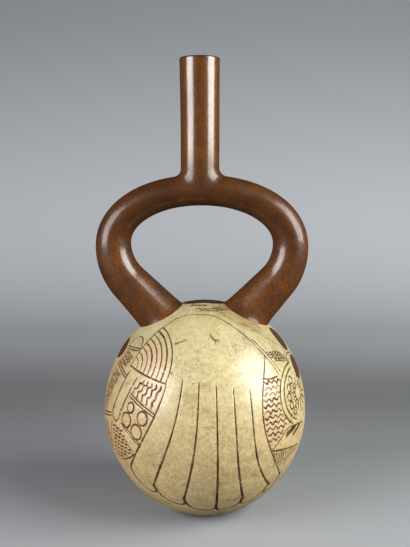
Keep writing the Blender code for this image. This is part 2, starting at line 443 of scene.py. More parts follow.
class Pen:
    """Collects strokes as rows of turn, down, half width and darkness."""

    def __init__(self):
        self.strokes = []
        self.centre = 0.0

    def turned(self, centre):
        """Move what is drawn next round the body."""
        self.centre = centre

    def trace(self, rows, width, dark=1.0, ends=(0.55, 0.55), swell=(1.0, 1.0), closed=False):
        """Read a line of (turn, down) every STEP mm, with thin ends and a slow swell."""
        rows = np.array(rows, float)
        rows[:, 0] += self.centre
        reach = measured(rows)
        where = np.linspace(0.0, reach[-1], max(3, int(reach[-1] / STEP) + 1))
        turn, down = read(where, reach, rows)
        half = width / 2.0 * np.interp(where / reach[-1], np.linspace(0.0, 1.0, len(swell)), swell)
        beat = 0.6 * turn[0] + down[0]
        half *= 1.0 + ripple(where, beat, *SLOW_SWELL) + ripple(where, 2.0 * beat, *QUICK_SWELL)
        if not closed:
            run = min(TAPER, reach[-1] / 3.0)
            near = np.minimum(where, reach[-1] - where) / run
            blunt = np.where(where < reach[-1] / 2.0, ends[0], ends[1])
            half *= blunt + (1.0 - blunt) * np.clip(near, 0.0, 1.0)
        shade = dark * (1.0 - FADING[0] + ripple(where, beat, *FADING))
        self.strokes.append(np.stack((turn, down, half, shade), axis=-1))

    def line(self, points, width=0.85, **manner):
        """A smooth line through a few (turn, down) places."""
        count = CURVE_PLACES if len(points) > 2 else STRAIGHT_PLACES
        self.trace(smooth_through(points, count), width, **manner)

    def wave(self, start, end, waves, height, width=0.85, phase=0.0, lean=0.0, **manner):
        """A line from start to end that swings to both sides by height, as a sine.  With lean, the
        sine's angle is moved on by lean times its own sine, so that the waves lean over.  The
        height is uneven by three tenths."""
        share = np.linspace(0.0, 1.0, 40 + int(30 * waves))
        start, end = np.array(start, float), np.array(end, float)
        scale = (degree_at((start[1] + end[1]) / 2.0), 1.0)
        run = (end - start) * scale
        across = np.array((-run[1], run[0])) / np.hypot(*run)
        angle = 2.0 * math.pi * waves * share + phase
        uneven = 1.0 + 0.3 * np.sin(0.61 * angle + start[1])
        swing = height * uneven * np.sin(angle + lean * np.sin(angle))
        middle = start + share[:, None] * (end - start)
        self.trace(middle + swing[:, None] * across / scale, width, **manner)

    def ring(self, centre, radius, width=0.9, tall=1.0, heavy=0.0, **manner):
        """An oval about a place, with one side heavier than the other."""
        angle = np.linspace(0.0, 2.0 * math.pi, 60) - 0.6
        turn = centre[0] + radius * np.cos(angle) / degree_at(centre[1])
        rows = np.stack((turn, centre[1] + tall * radius * np.sin(angle)), axis=-1)
        swell = (1.0 + heavy, 1.0, 1.0 - heavy, 1.0, 1.0 + heavy)
        self.trace(rows, width, closed=True, swell=swell, **manner)

    def bar(self, places, half, width=0.9, **manner):
        """Both sides of a bar that follows a smooth line, joined round its far end."""
        turn, down = smooth_through(places, 60).T
        forward, across = headings(turn, down)
        left = shifted(turn, down, across, forward, -half)
        right = shifted(turn, down, across, forward, half)[::-1]
        angle = np.linspace(-0.5 * math.pi, 0.5 * math.pi, 30)[1:-1]
        end = shifted(turn[-1], down[-1], across[:, -1], forward[:, -1],
                      half * np.sin(angle), half * np.cos(angle))
        self.trace(np.concatenate((left, end, right)), width, **manner)

    def dot(self, place, width=1.1, **manner):
        """A short dab."""
        self.line((place, (place[0] + 0.5, place[1] + 0.3)), width, ends=(0.9, 0.9), **manner)


pen = Pen()

# %% [markdown]
# ## The fan of feathers
#
# The front shows a fan of long feathers.  Six lines start evenly spaced under the shoulder and end
# along a shallow bowl, and each turns outwards as a power of its way down.  Each pair is joined by
# a round tip that starts a little above their ends, so every join is a small Y.
# The lines could be drawn one by one through places, but a rule keeps them a family.

# %% Feathers on the front
FEATHERS = 6
EDGE_TOP = 73.0  # where the first line starts, which is the wing's edge
TOPS = (67.0, 1.9)  # the slope where the others start: at the first line, and the step to the next
HEADS = (-22.5, 9.6)  # their turns there
FEET = (-50.0, 19.4)  # and at their ends
FOOT_LEFT = 4.0  # swings the second and third feet left of an even spacing
FAN_FOOT = 154.0
FAN_MIDDLE = 10.0
BOWL_RISE = 0.05
BENDS = (1.6, 0.45)  # the power of the first line's bend, and the step to the next
WAIST = (32.0, 92.0)  # turn and down
WAIST_SPREAD = 0.011
FAN_TOP = 59.0
FAN_RIGHT_FOOT = 138.0
JOIN_RISE = 2.0
RIGHT_JOIN_RISE = 1.5
TIP_DROP = 11.0
TIP_POWER = 0.75


def feather_top(number):
    """Where a feather's line starts: a slope down to the right.  The first is the wing's edge."""
    return TOPS[0] + TOPS[1] * number if number else EDGE_TOP


def feather_foot(number):
    """The foot of a feather's line, on a bowl that rises with the turn's power of one and a half.
    The second and third lines are drawn a little to the left of an even spacing."""
    turn = FEET[0] + FEET[1] * number - FOOT_LEFT * math.sin(math.pi * min(number, 3) / 3.0)
    return turn, FAN_FOOT - BOWL_RISE * abs(turn - FAN_MIDDLE) ** 1.5


def feather_turn(number, down):
    """Turn of a feather's line at a distance down: early outwards on the left, late on the right."""
    head = HEADS[0] + HEADS[1] * number
    foot, foot_down = feather_foot(number)
    top = feather_top(number)
    share = np.clip((down - top) / (foot_down - top), 0.0, None)
    return head + (foot - head) * share ** (BENDS[0] + BENDS[1] * number)


def fan_edge(down):
    """Turn of the fan's right edge, which draws in to a waist and spreads again."""
    return WAIST[0] + WAIST_SPREAD * (down - WAIST[1]) ** 2


def feather_tip(start, end):
    """From foot to foot, let down by a squarish half oval, so the corners are round and full."""
    angle = np.linspace(math.pi, 0.0, 60)
    share = 0.5 + 0.5 * np.sign(np.cos(angle)) * np.abs(np.cos(angle)) ** TIP_POWER
    rows = np.array(start) + share[:, None] * (np.array(end) - np.array(start))
    rows[:, 1] += TIP_DROP * np.sin(angle).clip(0.0) ** TIP_POWER
    pen.trace(rows, 1.5, ends=(1.0, 1.0), swell=(1.1, 0.9, 1.1))


def fan():
    """The feathers' lines, the fan's right edge and the tips."""
    joins = []
    for number in range(FEATHERS):
        foot = feather_foot(number)[1]
        join = foot - JOIN_RISE
        down = np.linspace(feather_top(number), foot if number else join, 80)
        rows = np.stack((feather_turn(number, down), down), axis=-1)
        pen.trace(rows, 1.0, swell=(0.55, 0.85, 1.0, 1.2, 1.35, 1.5), ends=(0.3, 1.0))
        joins.append((feather_turn(number, join), join))
    down = np.linspace(FAN_TOP, FAN_RIGHT_FOOT, 80)
    pen.trace(np.stack((fan_edge(down), down), axis=-1), 0.9, swell=(0.8, 1.0, 1.1), ends=(1.0, 0.9))
    join = FAN_RIGHT_FOOT - RIGHT_JOIN_RISE
    joins.append((fan_edge(join), join))
    for start, end in zip(joins, joins[1:]):
        feather_tip(start, end)


fan()
print(f"{len(pen.strokes)} strokes in the fan")

# %% [markdown]
# ## The band over the shoulder and the left wing
#
# One long line arches over the plain shoulder from side to side.  Under its left end hangs a wing
# of nested arcs, then panels of bold waves and of circles, each closed by a double line, and a
# lobe of small zigzags, with a long plain bar beside them.  The panels are named by rungs, and
# what fills a panel is placed by its share across and along it, so it moves when a rung is moved.

# %% The long arch
BAND_TOP = 23.0
BAND_MIDDLE = -2.0
BAND_LEFT = (29.0, 49.0, 5.0)  # how far it drops, over how many degrees, and by which power
BAND_RIGHT = (49.0, 52.0, 2.6)


def arch_down(turn):
    """How far down the long arch lies: it drops with a high power of the turn on the left, and
    with a low one on the right."""
    lie = BAND_TOP
    for (drop, span, power), away in ((BAND_LEFT, BAND_MIDDLE - turn), (BAND_RIGHT, turn - BAND_MIDDLE)):
        lie = lie + drop * (away.clip(0.0) / span) ** power
    return lie


def long_arch():
    """The arch, and a second line beside its right end."""
    turn = np.linspace(-51.0, 50.0, 160)
    pen.trace(np.stack((turn, arch_down(turn)), axis=-1), 0.8, dark=0.95, ends=(0.9, 1.0))
    turn = np.linspace(40.0, 52.0, 40)
    pen.trace(np.stack((turn, arch_down(turn - 2.7)), axis=-1), 0.8, ends=(0.3, 1.0))


# %% Nested arcs, panels and the lobe
WING_CORNER = np.array((-53.5, 67.0))
WING_BASE = np.array((30.5, 6.0))
WING_BACK = np.array((7.5, -29.0))
ARC_COUNT = 8
ARC_STEP = 0.115  # how much smaller each arc is, as a share of the first
ARC_POWER = 0.9
# A rung has a turn and a down at its left, and a down at its right, on the first feather's line.
RUNG_ENDS = ((-45.0, 71.0, 73.0), (-46.0, 82.0, 91.0), (-51.0, 99.0, 110.0))
RUNGS = np.array([((turn, left), (feather_turn(0, right), right)) for turn, left, right in RUNG_ENDS])
# A circle has its shares across and along the panel, a radius and how heavy one side is.
CIRCLES = ((0.22, 0.35, 2.8, 0.15), (0.22, 0.8, 4.0, 0.1), (0.72, 0.33, 3.7, 0.4), (0.72, 0.8, 4.1, 0.25))
LOBE = ((-61.0, 102.0), (-64.0, 114.0), (-64.0, 123.0), (-57.0, 126.0), (-47.0, 122.0), (-41.0, 117.0))


def in_panel(panel, across, along_it):
    """The place at a share across and a share along the panel below a rung."""
    start, end = (rung[0] + across * (rung[1] - rung[0]) for rung in RUNGS[panel:panel + 2])
    return tuple(start + along_it * (end - start))


def left_wing():
    """Quarter ovals of shrinking size between a straight base and the wing's back."""
    pen.line((WING_CORNER, WING_CORNER + WING_BASE), 1.05, swell=(1.2, 0.9), ends=(1.0, 0.8))
    pen.line((WING_CORNER, WING_CORNER + 0.45 * WING_BACK - (1.0, 0.0), WING_CORNER + WING_BACK), 0.9)
    angle = np.linspace(0.0, 0.5 * math.pi, 50)[:, None]
    reach = np.cos(angle).clip(0.0) ** ARC_POWER * WING_BASE + np.sin(angle) ** ARC_POWER * WING_BACK
    for number in range(ARC_COUNT):
        width = 1.05 if number in (1, 4) else 0.8
        pen.trace(WING_CORNER + (1.0 - ARC_STEP * number) * reach, width, swell=(0.85, 1.05, 1.0))


def double_line(start, end, gap=1.8, width=0.9):
    """Two straight lines side by side."""
    for step in (0.0, gap):
        pen.line((np.array(start) + (0.0, step), np.array(end) + (0.0, step)), width, ends=(1.0, 1.0))


def bold_waves():
    """Five waves down the first panel, the last one finer in height and heavier in line."""
    for number in range(5):
        last = number == 4
        start = in_panel(0, 0.34 + 0.14 * number, 0.1)
        end = in_panel(0, 0.06 + 0.19 * number, 0.9)
        pen.wave(start, end, 2.4, 0.5 if last else 0.75, 1.35 if last else 1.05, phase=2.6, lean=0.4,
                 ends=(0.7, 1.0))


def lobe():
    """The lobe's outline, and eight zigzags across it that shorten towards its point."""
    pen.line(LOBE, 0.9)
    for row in range(8):
        down = 104.5 + 2.75 * row
        left = -60.0 - 0.35 * row
        right = min(-51.5 + 0.62 * (down - 101.0), -42.0 - 1.4 * (down - 117.0))
        pen.wave((left, down), (right, down + 1.5 - 0.3 * row), (right - left) / 3.6, 0.62, 1.05,
                 phase=1.3 * row, ends=(0.8, 0.8))


def wing_panels():
    """The bar, the bold waves, the circles and the lobe of zigzags."""
    pen.bar(((-48.0, 71.0), (-53.0, 86.0), (-57.0, 97.0)), 4.3, 1.25, swell=(0.8, 1.1, 0.9))
    bold_waves()
    for rung in RUNGS[1:]:
        double_line(*rung)
    for across, along_it, radius, heavy in CIRCLES:
        pen.ring(in_panel(1, across, along_it), radius, 1.15, 1.08, heavy)
    lobe()


# %% Netting and the back of the wing
RIPPLE_LENGTH = 5.4
NET_STEP = 2.7  # millimetres between the rows
NET_WIDTH = 0.78


def netting(corner, along_row, aside, rows):
    """A field of netting: close rows, each of two ripples that cross.  The row's run and the step
    aside from row to row are in millimetres."""
    corner, along_row, downward = (np.array(part, float) for part in (corner, along_row, (aside, NET_STEP)))
    scale = np.array((1.0 / degree_at(corner[1]), 1.0))
    for row in range(rows):
        start = corner + scale * downward * row
        for phase in (0.9 * row, 0.9 * row + math.pi):
            pen.wave(start, start + scale * along_row, np.hypot(*along_row) / RIPPLE_LENGTH, 1.0, NET_WIDTH,
                     phase=phase, lean=0.3)


def far_left():
    """The back of the wing: a capped field, double lines and fields of netting."""
    angle = np.linspace(math.pi, 2.0 * math.pi, 50)
    pen.trace(np.stack((-62.0 + 9.5 * np.cos(angle), 57.0 + 8.5 * np.sin(angle)), axis=-1), 0.85)
    double_line((-70.5, 57.2), (-53.0, 55.6), 1.7, 0.9)
    double_line((-72.0, 67.5), (-54.0, 73.0), 1.8, 0.95)
    pen.line(((-68.0, 59.0), (-72.0, 69.0), (-79.0, 84.0), (-81.5, 102.0)), 0.9)
    double_line((-82.0, 103.0), (-62.5, 98.0), 2.0, 0.85)
    netting((-67.0, 60.5), (10.5, 2.1), -1.2, 3)
    netting((-72.5, 73.5), (12.0, 1.6), -1.25, 10)
    netting((-79.0, 107.0), (13.0, 0.0), 0.45, 7)


def left_side():
    """Everything to the left of the fan."""
    long_arch()
    left_wing()
    wing_panels()
    far_left()


left_side()
print(f"{len(pen.strokes)} strokes with the left wing")

# %% [markdown]
# ## The right side
#
# To the right of the fan runs a column of short waves.  Beside it is a round shield with a double
# rim, filled with small circles and dabs.  Under the shield lie two dark leaves and one plain
# pointed leaf, with fine feathering below.  The waves could be one pattern laid over a field, but
# strokes that are made in a loop can each end where the shield's rim is.

# %% The column of waves and the shield
SHIELD = (67.0, 87.0)
SHIELD_WIDE = 21.0
SHIELD_TALL = 19.0
COLUMN_TOP = 74.5
COLUMN_STEP = 3.3
COLUMN_ROWS = 11
COLUMN_WAVE = 4.0  # millimetres for one wave


def on_shield(angle, size):
    """The place at an angle in degrees and a share of the shield's radius; 180 is its left."""
    angle = np.radians(angle)
    return SHIELD[0] + size * SHIELD_WIDE * np.cos(angle), SHIELD[1] + size * SHIELD_TALL * np.sin(angle)


def wave_column():
    """Short waves between the fan's edge and the shield's rim, or the leaf below it.  The second
    and third are fainter."""
    pen.line(((35.0, 71.5), (41.0, 72.8), (48.0, 72.5)), 0.85, ends=(0.3, 1.0))
    for row in range(COLUMN_ROWS):
        down = COLUMN_TOP + COLUMN_STEP * row
        rise = (down - SHIELD[1]) / SHIELD_TALL
        rim = SHIELD[0] - SHIELD_WIDE * math.sqrt(max(0.0, 1.0 - rise**2))
        left = fan_edge(down) + 1.0
        right = min(rim, 58.0 - 0.9 * (down - 92.0)) - 1.0
        width, dark = (0.85, 0.75) if row in (1, 2) else (1.05, 1.0)
        pen.wave((left, down), (right, down + 0.6), (right - left) / COLUMN_WAVE, 0.85, width,
                 phase=0.9 * (row % 3) - 0.6, lean=-0.3, dark=dark, ends=(0.8, 0.7))


def shield():
    """A double rim about rings on two inner circles, with dabs between and rays behind."""
    for size, start, end in ((1.0, 272.0, 122.0), (0.83, 270.0, 112.0)):
        pen.trace(np.stack(on_shield(np.linspace(start, end, 70), size), axis=-1), 1.15)
    for number in range(5):
        pen.ring(on_shield(236.0 - 27.0 * number, 0.6), 2.0, 1.1, 1.15, 0.3)
        pen.ring(on_shield(232.0 - 25.0 * number, 0.32), 1.4, 1.0, 1.15, 0.3)
        pen.dot(on_shield(222.0 - 27.0 * number, 0.46), 1.1)
        pen.dot(on_shield(210.0 - 25.0 * number, 0.7), 1.0)
    for number in range(9):
        angle = 112.0 - 26.0 * number
        pen.line((on_shield(angle, 0.2), on_shield(angle, 0.5 + 0.08 * (number % 2))), 1.5)


# %% Leaves


def leaf(root, point, width):
    """A filled leaf: one broad stroke, widest at two fifths of its length."""
    share = np.linspace(0.0, 1.0, 60)[:, None]
    rows = np.array(root) + share * (np.array(point) - np.array(root))
    rows[:, 1] -= 0.6 * np.sin(math.pi * share[:, 0])
    pen.trace(rows, width, ends=(0.25, 0.1))
    half = pen.strokes[-1][:, 2]
    half *= 0.25 + np.sin(math.pi * np.linspace(0.0, 1.0, len(half)) ** 0.75)


def leaves():
    """Two dark leaves in a light outline, and a plain pointed leaf above fine feathering."""
    leaf((49.0, 108.0), (62.0, 104.5), 2.4)
    leaf((56.0, 110.0), (68.0, 104.5), 1.9)
    pen.line(((45.0, 106.5), (52.0, 103.8), (69.0, 106.0)), 0.8)
    pen.line(((60.0, 113.0), (63.0, 110.0), (70.0, 107.0)), 0.9)
    pen.line(((38.0, 115.0), (42.0, 110.5), (47.0, 106.5)), 0.85)
    pen.line(((38.0, 115.0), (52.0, 117.0), (67.0, 119.5)), 0.95, swell=(1.2, 0.9))
    for number in range(14):
        turn = 40.0 + 1.9 * number
        places = ((turn, 116.5 + 0.2 * number), (turn + 1.6, 121.5),
                  (turn + 1.8 - 0.3 * number, 126.5 - 0.25 * number))
        pen.line(places, 0.95, dark=0.85, ends=(0.8, 0.3))
    pen.wave((44.5, 128.0), (60.5, 125.0), 5.0, 0.4, 0.8, dark=0.85)


def right_side():
    """Everything to the right of the fan."""
    wave_column()
    shield()
    leaves()
    netting((46.5, 57.5), (14.0, 3.2), 2.2, 3)
    pen.line(((66.0, 64.5), (72.0, 62.8), (82.0, 64.5)), 0.8)


right_side()
print(f"{len(pen.strokes)} strokes with the right side")

# %% Small motifs near the crown
pen.line(((-45.0, 11.2), (-20.0, 10.4), (2.0, 9.9)), 2.6, swell=(0.7, 1.2, 0.8))
netting((-22.0, 15.4), (16.5, 0.4), 2.4, 2)
for number in range(5):
    turn, down = 44.0 + 4.0 * number, 36.0 + 4.0 * number
    pen.line(((turn, down), (turn + 4.5, down + 2.8)), 0.7, dark=0.7, ends=(0.3, 0.3))

# %% [markdown]
# ## The back
#
# The two faces of such bottles repeat one figure, so the back carries the same fan, wings and
# panels, turned half way round.  A Mirror modifier would swap left and right; here the pen is moved
# round by 180 degrees and the same functions draw once more.

# %% The same picture, turned round
pen.turned(180.0)
fan()
long_arch()
left_wing()
wing_panels()
wave_column()
shield()
leaves()
pen.turned(0.0)

# %% Knocks and scratches
SCRATCHES = (  # places, width and darkness
    (((-24.0, 48.5), (-16.0, 45.5)), 1.4, 0.8),
    (((4.0, 40.0), (6.0, 44.0), (10.0, 45.5)), 1.1, 0.9),
    (((7.0, 44.0), (8.0, 47.5)), 0.9, 0.8),
    (((-21.0, 66.0), (-20.5, 66.5)), 1.2, 0.8),
    (((-2.0, 96.0), (5.0, 95.5)), 0.5, 0.4),
)
for points, width, dark in SCRATCHES:
    pen.line(points, width, dark=dark, ends=(0.5, 0.3))
stroke_length = sum(len(stroke) for stroke in pen.strokes) * STEP
print(f"{len(pen.strokes)} strokes in all, {stroke_length / 1000.0:.1f} m long")

# %% [markdown]
# ## The painted spots
#
# A few round spots and the saddle between the arms are painted with the red-brown slip.  A mask in
# the material could draw a circle but not such uneven shapes.  Each is an outline in (turn, down),
# and the body gets two close rows of points along it, so its edge is crisp.

# %% Spots of red-brown slip
SPOT_UNEVEN = 0.05


def oval_spot(centre, radius, tall):
    """Closed outline about a place: a circle that swells a little twice and three times round."""
    angle = np.linspace(0.0, 2.0 * math.pi, 73)[:-1]
    swell = SPOT_UNEVEN * np.sin(2.0 * angle + centre[0]) + SPOT_UNEVEN * np.cos(3.0 * angle)
    reach = radius * (1.0 + swell)
    turn = centre[0] + reach * np.cos(angle) / degree_at(centre[1])
    return np.stack((turn, centre[1] + tall * reach * np.sin(angle)), axis=-1)


def saddle_spot():
    """The saddle's outline: an uneven patch across the crown, which runs in under both arms and
    lies a little to the back."""
    turn = np.linspace(-180.0, 180.0, 181)[:-1]
    angle = np.radians(turn)
    down = 9.8 - 4.2 * np.cos(angle) + 4.0 * np.sin(angle) ** 2 + 0.5 * np.sin(3.0 * angle + 0.6)
    return np.stack((turn, down), axis=-1)


SPOTS = [
    oval_spot((-81.0, 61.0), 7.5, 1.0),
    oval_spot((79.0, 53.0), 7.5, 1.15),
    oval_spot((78.0, 73.0), 8.0, 1.0),
    oval_spot((111.0, 58.0), 8.0, 1.1),
    oval_spot((-104.0, 74.0), 7.5, 1.0),
]
SADDLE = saddle_spot()
print(f"{len(SPOTS)} round spots and the saddle")

# %% [markdown]
# ## Cutting the picture into the body
#
# Four rows of points run along each stroke: two on its edges, in the surface, and two a little
# further in, at the bottom of the groove.  Between the strokes the body needs few points, so a
# spiral with the golden angle spreads them evenly.  Every point then looks for the nearest stroke
# to learn how deep it lies and how dark it is, which also settles the places where strokes cross.

# %% Rows of points beside the strokes
EDGE_OUT = 0.10  # how far outside a stroke's edge the groove begins
EDGE_IN = 0.06  # and how far inside it reaches its full depth
GROOVE = 0.24
RIM_GAP = 0.12  # half the space between the two rows along a spot's outline
RIM_STEP = 0.8


def wrapped(turn):
    """The same turn, brought between -180 and 180 degrees."""
    return (turn + 180.0) % 360.0 - 180.0


def stroke_rows(stroke):
    """Edge and inner points on both sides of a stroke, and round both of its ends."""
    turn, down, half, _ = stroke.T
    forward, across = headings(turn, down)
    rows = []
    for gap in (half + EDGE_OUT, np.maximum(half - EDGE_IN, 0.4 * half)):
        rows += [shifted(turn, down, across, forward, side * gap) for side in (-1.0, 1.0)]
        for end, way in (([0], -1.0), ([-1], 1.0)):
            rows.append(shifted(turn[end], down[end], across[:, end], forward[:, end], 0.0, way * gap[end]))
    return np.concatenate(rows)


def outline_rows(outline):
    """Two close rows of points on both sides of a closed outline."""
    ring = np.concatenate((outline, outline[:1]))
    reach = measured(ring)
    where = np.linspace(0.0, reach[-1], int(reach[-1] / RIM_STEP))[:-1]
    turn, down = read(where, reach, ring)
    forward = np.stack((wrapped(np.roll(turn, -1) - np.roll(turn, 1)) * degree_at(down),
                        np.roll(down, -1) - np.roll(down, 1)))
    forward /= np.hypot(*forward)
    across = np.stack((-forward[1], forward[0]))
    return np.concatenate([shifted(turn, down, across, forward, gap) for gap in (-RIM_GAP, RIM_GAP)])


picture = np.concatenate([stroke_rows(stroke) for stroke in pen.strokes])
spot_rows = np.concatenate([outline_rows(outline) for outline in SPOTS + [SADDLE]])
print(f"{len(picture)} points along the strokes, {len(spot_rows)} round the spots")

# %% Distance to the nearest stroke
BOX = 6.0  # millimetres along a side of the boxes that points are sorted into
SEGMENT_MARGIN = 1.5  # room for a segment's own length and half width
FAR = 9.0  # stands for any distance that is too great to matter
LOOP_REACH = 26.0  # from a loop's middle: beyond its farthest point

segments = np.concatenate([np.concatenate((stroke[:-1], stroke[1:]), axis=1) for stroke in pen.strokes])
segment_start = skin.place(segments[:, 0], segments[:, 1])
segment_run = skin.place(segments[:, 4], segments[:, 5]) - segment_start
segment_half = (segments[:, 2] + segments[:, 6]) / 2.0
segment_dark = (segments[:, 3] + segments[:, 7]) / 2.0


def nearest_stroke(points, reach):
    """Distance from each point to the nearest stroke's edge, below 0 inside it, and the stroke's
    darkness.  The points are sorted into boxes, and each box looks only at strokes near it."""
    gap = np.full(len(points), FAR)
    dark = np.zeros(len(points))
    boxes, member = np.unique(np.floor(points / BOX).astype(int), axis=0, return_inverse=True)
    order = np.argsort(member.ravel(), kind="stable")
    groups = np.split(order, np.cumsum(np.bincount(member.ravel()))[:-1])
    square = np.maximum(np.sum(segment_run**2, axis=1), 1e-12)
    for box, group in zip(boxes, groups):
        aside = np.abs(segment_start - (box + 0.5) * BOX)
        near = np.all(aside < BOX / 2.0 + reach + SEGMENT_MARGIN, axis=1)
        if not near.any():
            continue
        start, run = segment_start[near], segment_run[near]
        away = points[group][:, None] - start
        share = np.clip(np.sum(away * run, axis=2) / square[near], 0.0, 1.0)
        distance = np.linalg.norm(away - share[..., None] * run, axis=2) - segment_half[near]
        best = np.argmin(distance, axis=1)
        gap[group] = distance[np.arange(len(group)), best]
        dark[group] = segment_dark[near][best]
    return gap, dark


def gap_to_loop(points, loop):
    """Distance from each point to the nearest point of a seam's loop, for points close to it."""
    gap = np.full(len(points), FAR)
    close = np.linalg.norm(points - loop.mean(axis=0), axis=1) < LOOP_REACH
    gap[close] = np.linalg.norm(points[close][:, None] - loop, axis=2).min(axis=1)
    return gap


# %% The body's points
FOOT_SIDES = 120
GOLDEN_ANGLE = 137.50776
SPACING = 1.75  # millimetres between the points of plain clay
STROKE_CLEAR = 0.75  # plain clay's points keep this far from a stroke
LOOP_CLEAR = 0.45  # and all points this far from a seam
LINING_CLEAR = 1.0
CROWDED = 0.16  # a side of the little boxes that keep one point each


def thinned(points, size):
    """One point from each little box, so that crossing strokes leave no slivers."""
    _, first = np.unique(np.floor(points / size).astype(int), axis=0, return_index=True)
    return np.sort(first)


def golden_spiral(outline, spacing):
    """Points spread evenly by area from the crown down, each a golden angle on from the last."""
    count = int(outline.area[-1] / spacing**2 / 0.9)
    number = np.arange(count) + 0.5
    down = np.interp(number / count * outline.area[-1], outline.area, outline.down)
    return np.stack((wrapped(number * GOLDEN_ANGLE), down), axis=-1)


def loose_points(outline, spacing, marked):
    """The filling between the foot's ring and the seams, with the picture if it is marked."""
    loose = golden_spiral(outline, spacing)
    loose = loose[loose[:, 1] < outline.down[-1] - 0.6 * spacing]
    if marked:
        gap, _ = nearest_stroke(outline.place(*loose.T), 1.2)
        loose = np.concatenate((picture, spot_rows, loose[gap > STROKE_CLEAR]))
        loose = loose[thinned(outline.place(*loose.T), CROWDED)]
    return loose


def body_patch(outline, wall, seams, spacing, marked):
    """All points of the body's skin: the foot's ring, the two seams, the picture and a filling.
    It returns their (turn, down), the points, their places on the flat map and the triangles."""
    foot_turn = np.arange(FOOT_SIDES) * 360.0 / FOOT_SIDES - 180.0
    foot = np.stack((foot_turn, np.full(FOOT_SIDES, outline.down[-1])), axis=-1)
    loops = [tube(distances, LOOP_ANGLES, wall)[:-1] for distances in seams.values()]
    loop_spots = [outline.find(loop) for loop in loops]
    holes = [outline.flat(*spots.T) for spots in loop_spots]
    loose = loose_points(outline, spacing, marked)
    flat, points = outline.flat(*loose.T), outline.place(*loose.T)
    clear = LOOP_CLEAR if marked else LINING_CLEAR
    free = np.ones(len(loose), bool)
    for loop, hole in zip(loops, holes):
        free &= ~holds(hole, flat) & (gap_to_loop(points, loop) > clear)
    spots = np.concatenate([foot] + loop_spots + [loose[free]])
    points = outline.place(*spots.T)
    points[FOOT_SIDES:FOOT_SIDES + 2 * LOOP_SIDES] = np.concatenate(loops)
    flat = outline.flat(*spots.T)
    triangles = cut_triangles(flat, tied([(FOOT_SIDES, True), (LOOP_SIDES, True), (LOOP_SIDES, True)]))
    for hole in holes:
        triangles = triangles[~holds(hole, flat[triangles].mean(axis=1))]
    return spots, points, flat, triangles


spots, points, flat, triangles = body_patch(skin, 0.0, outer_seams, SPACING, True)
print(f"body: {len(points)} points, {len(triangles)} triangles")

# %% Depth, darkness and paint at each point
INK_EDGE = 0.05  # the ink begins this far outside a stroke's edge
INK_FADE = 0.08  # and is full this much further in


def beside(spots, outline):
    """The same places, each with its turn written as the one nearest to the outline's."""
    middle = outline[:, 0].mean()
    return np.stack((wrapped(spots[:, 0] - middle) + middle, spots[:, 1]), axis=-1)


gap, dark = nearest_stroke(points, 0.4)
inside = np.clip((EDGE_OUT - gap) / (EDGE_OUT + EDGE_IN), 0.0, 1.0)
ink = np.clip((INK_EDGE - gap) / INK_FADE, 0.0, 1.0) * dark
sunk = GROOVE * inside * np.clip(dark * 1.1, 0.0, 1.0)
ring_count = FOOT_SIDES + 2 * LOOP_SIDES
points[ring_count:] = skin.place(spots[ring_count:, 0], spots[ring_count:, 1], sunk[ring_count:])
paint = np.zeros(len(points))
for outline in SPOTS:
    paint[holds(outline, beside(spots, outline))] = 1.0
paint[holds(skin.flat(*SADDLE.T), flat)] = 1.0
print(f"{np.mean(ink > 0.5):.0%} of the points are dark, {np.mean(paint):.0%} are painted")

# %% [markdown]
# ## Washes, grime and painted shade
#
# A thin pink wash lies over the patterned panels.  Brown darkening lies over the crown, where it is
# painted shade between the arms, on the right shoulder and by the right arm's foot, where hands have
# left dirt, and at the far left, where it only makes the body darker.  Each could be painted on an
# image.  Here each is a few outlines in (turn, down) with a soft edge, kept as one number at each
# point of the mesh, and the finish decides later what the number does.

# %% Pink washes over the patterned panels
WASH_SOFTNESS = 2.5
RIM_BLUSH = 2.2  # millimetres of pink round each arm's foot
column_down = np.linspace(74.0, 110.0, 9)
column_left = np.stack((fan_edge(column_down), column_down), axis=-1)
WASHES = (  # outline and strength
    ((in_panel(0, 0.25, 0.0), in_panel(0, 1.0, 0.0), in_panel(0, 1.0, 1.0), in_panel(0, 0.0, 1.0)), 1.0),
    ((WING_CORNER, WING_CORNER + WING_BASE, WING_CORNER + 0.8 * WING_BASE + 0.6 * WING_BACK,
      WING_CORNER + 0.7 * WING_BACK), 0.75),
    ((in_panel(1, 0.0, 0.1), in_panel(1, 1.0, 0.1), in_panel(1, 1.0, 1.0), in_panel(1, 0.0, 1.0)), 0.55),
    (((-60.0, 102.0), (-50.0, 101.0), (-41.0, 116.0), (-47.0, 122.0), (-63.0, 125.0)), 0.5),
    (np.concatenate((column_left, ((48.0, 104.0), (45.0, 87.0), (48.0, 74.0)))), 0.8),
    (((-72.0, 50.0), (-55.0, 50.0), (-54.0, 72.0), (-62.0, 98.0), (-82.0, 102.0)), 0.6),
)


def soft_inside(outline, places, softness):
    """1 inside an outline and 0 outside, with a soft edge in degrees round and millimetres down."""
    first, run = outline, np.roll(outline, -1, axis=0) - outline
    away = places[:, None] - first
    share = np.clip(np.sum(away * run, axis=2) / np.sum(run**2, axis=1), 0.0, 1.0)
    distance = np.linalg.norm(away - share[..., None] * run, axis=2).min(axis=1)
    signed = np.where(holds(outline, places), distance, -distance)
    return np.clip(0.5 + signed / softness, 0.0, 1.0)


blush = np.zeros(len(points))
for centre in (0.0, 180.0):
    for outline, strength in WASHES:
        outline = np.array(outline) + (centre, 0.0)
        blush = np.maximum(blush, strength * soft_inside(outline, beside(spots, outline), WASH_SOFTNESS))
for distances in outer_seams.values():
    away = gap_to_loop(points, tube(distances, LOOP_ANGLES, 0.0))
    blush = np.maximum(blush, (1.0 - away / RIM_BLUSH).clip(0.0))
print(f"{np.mean(blush > 0.1):.0%} of the points are pink")
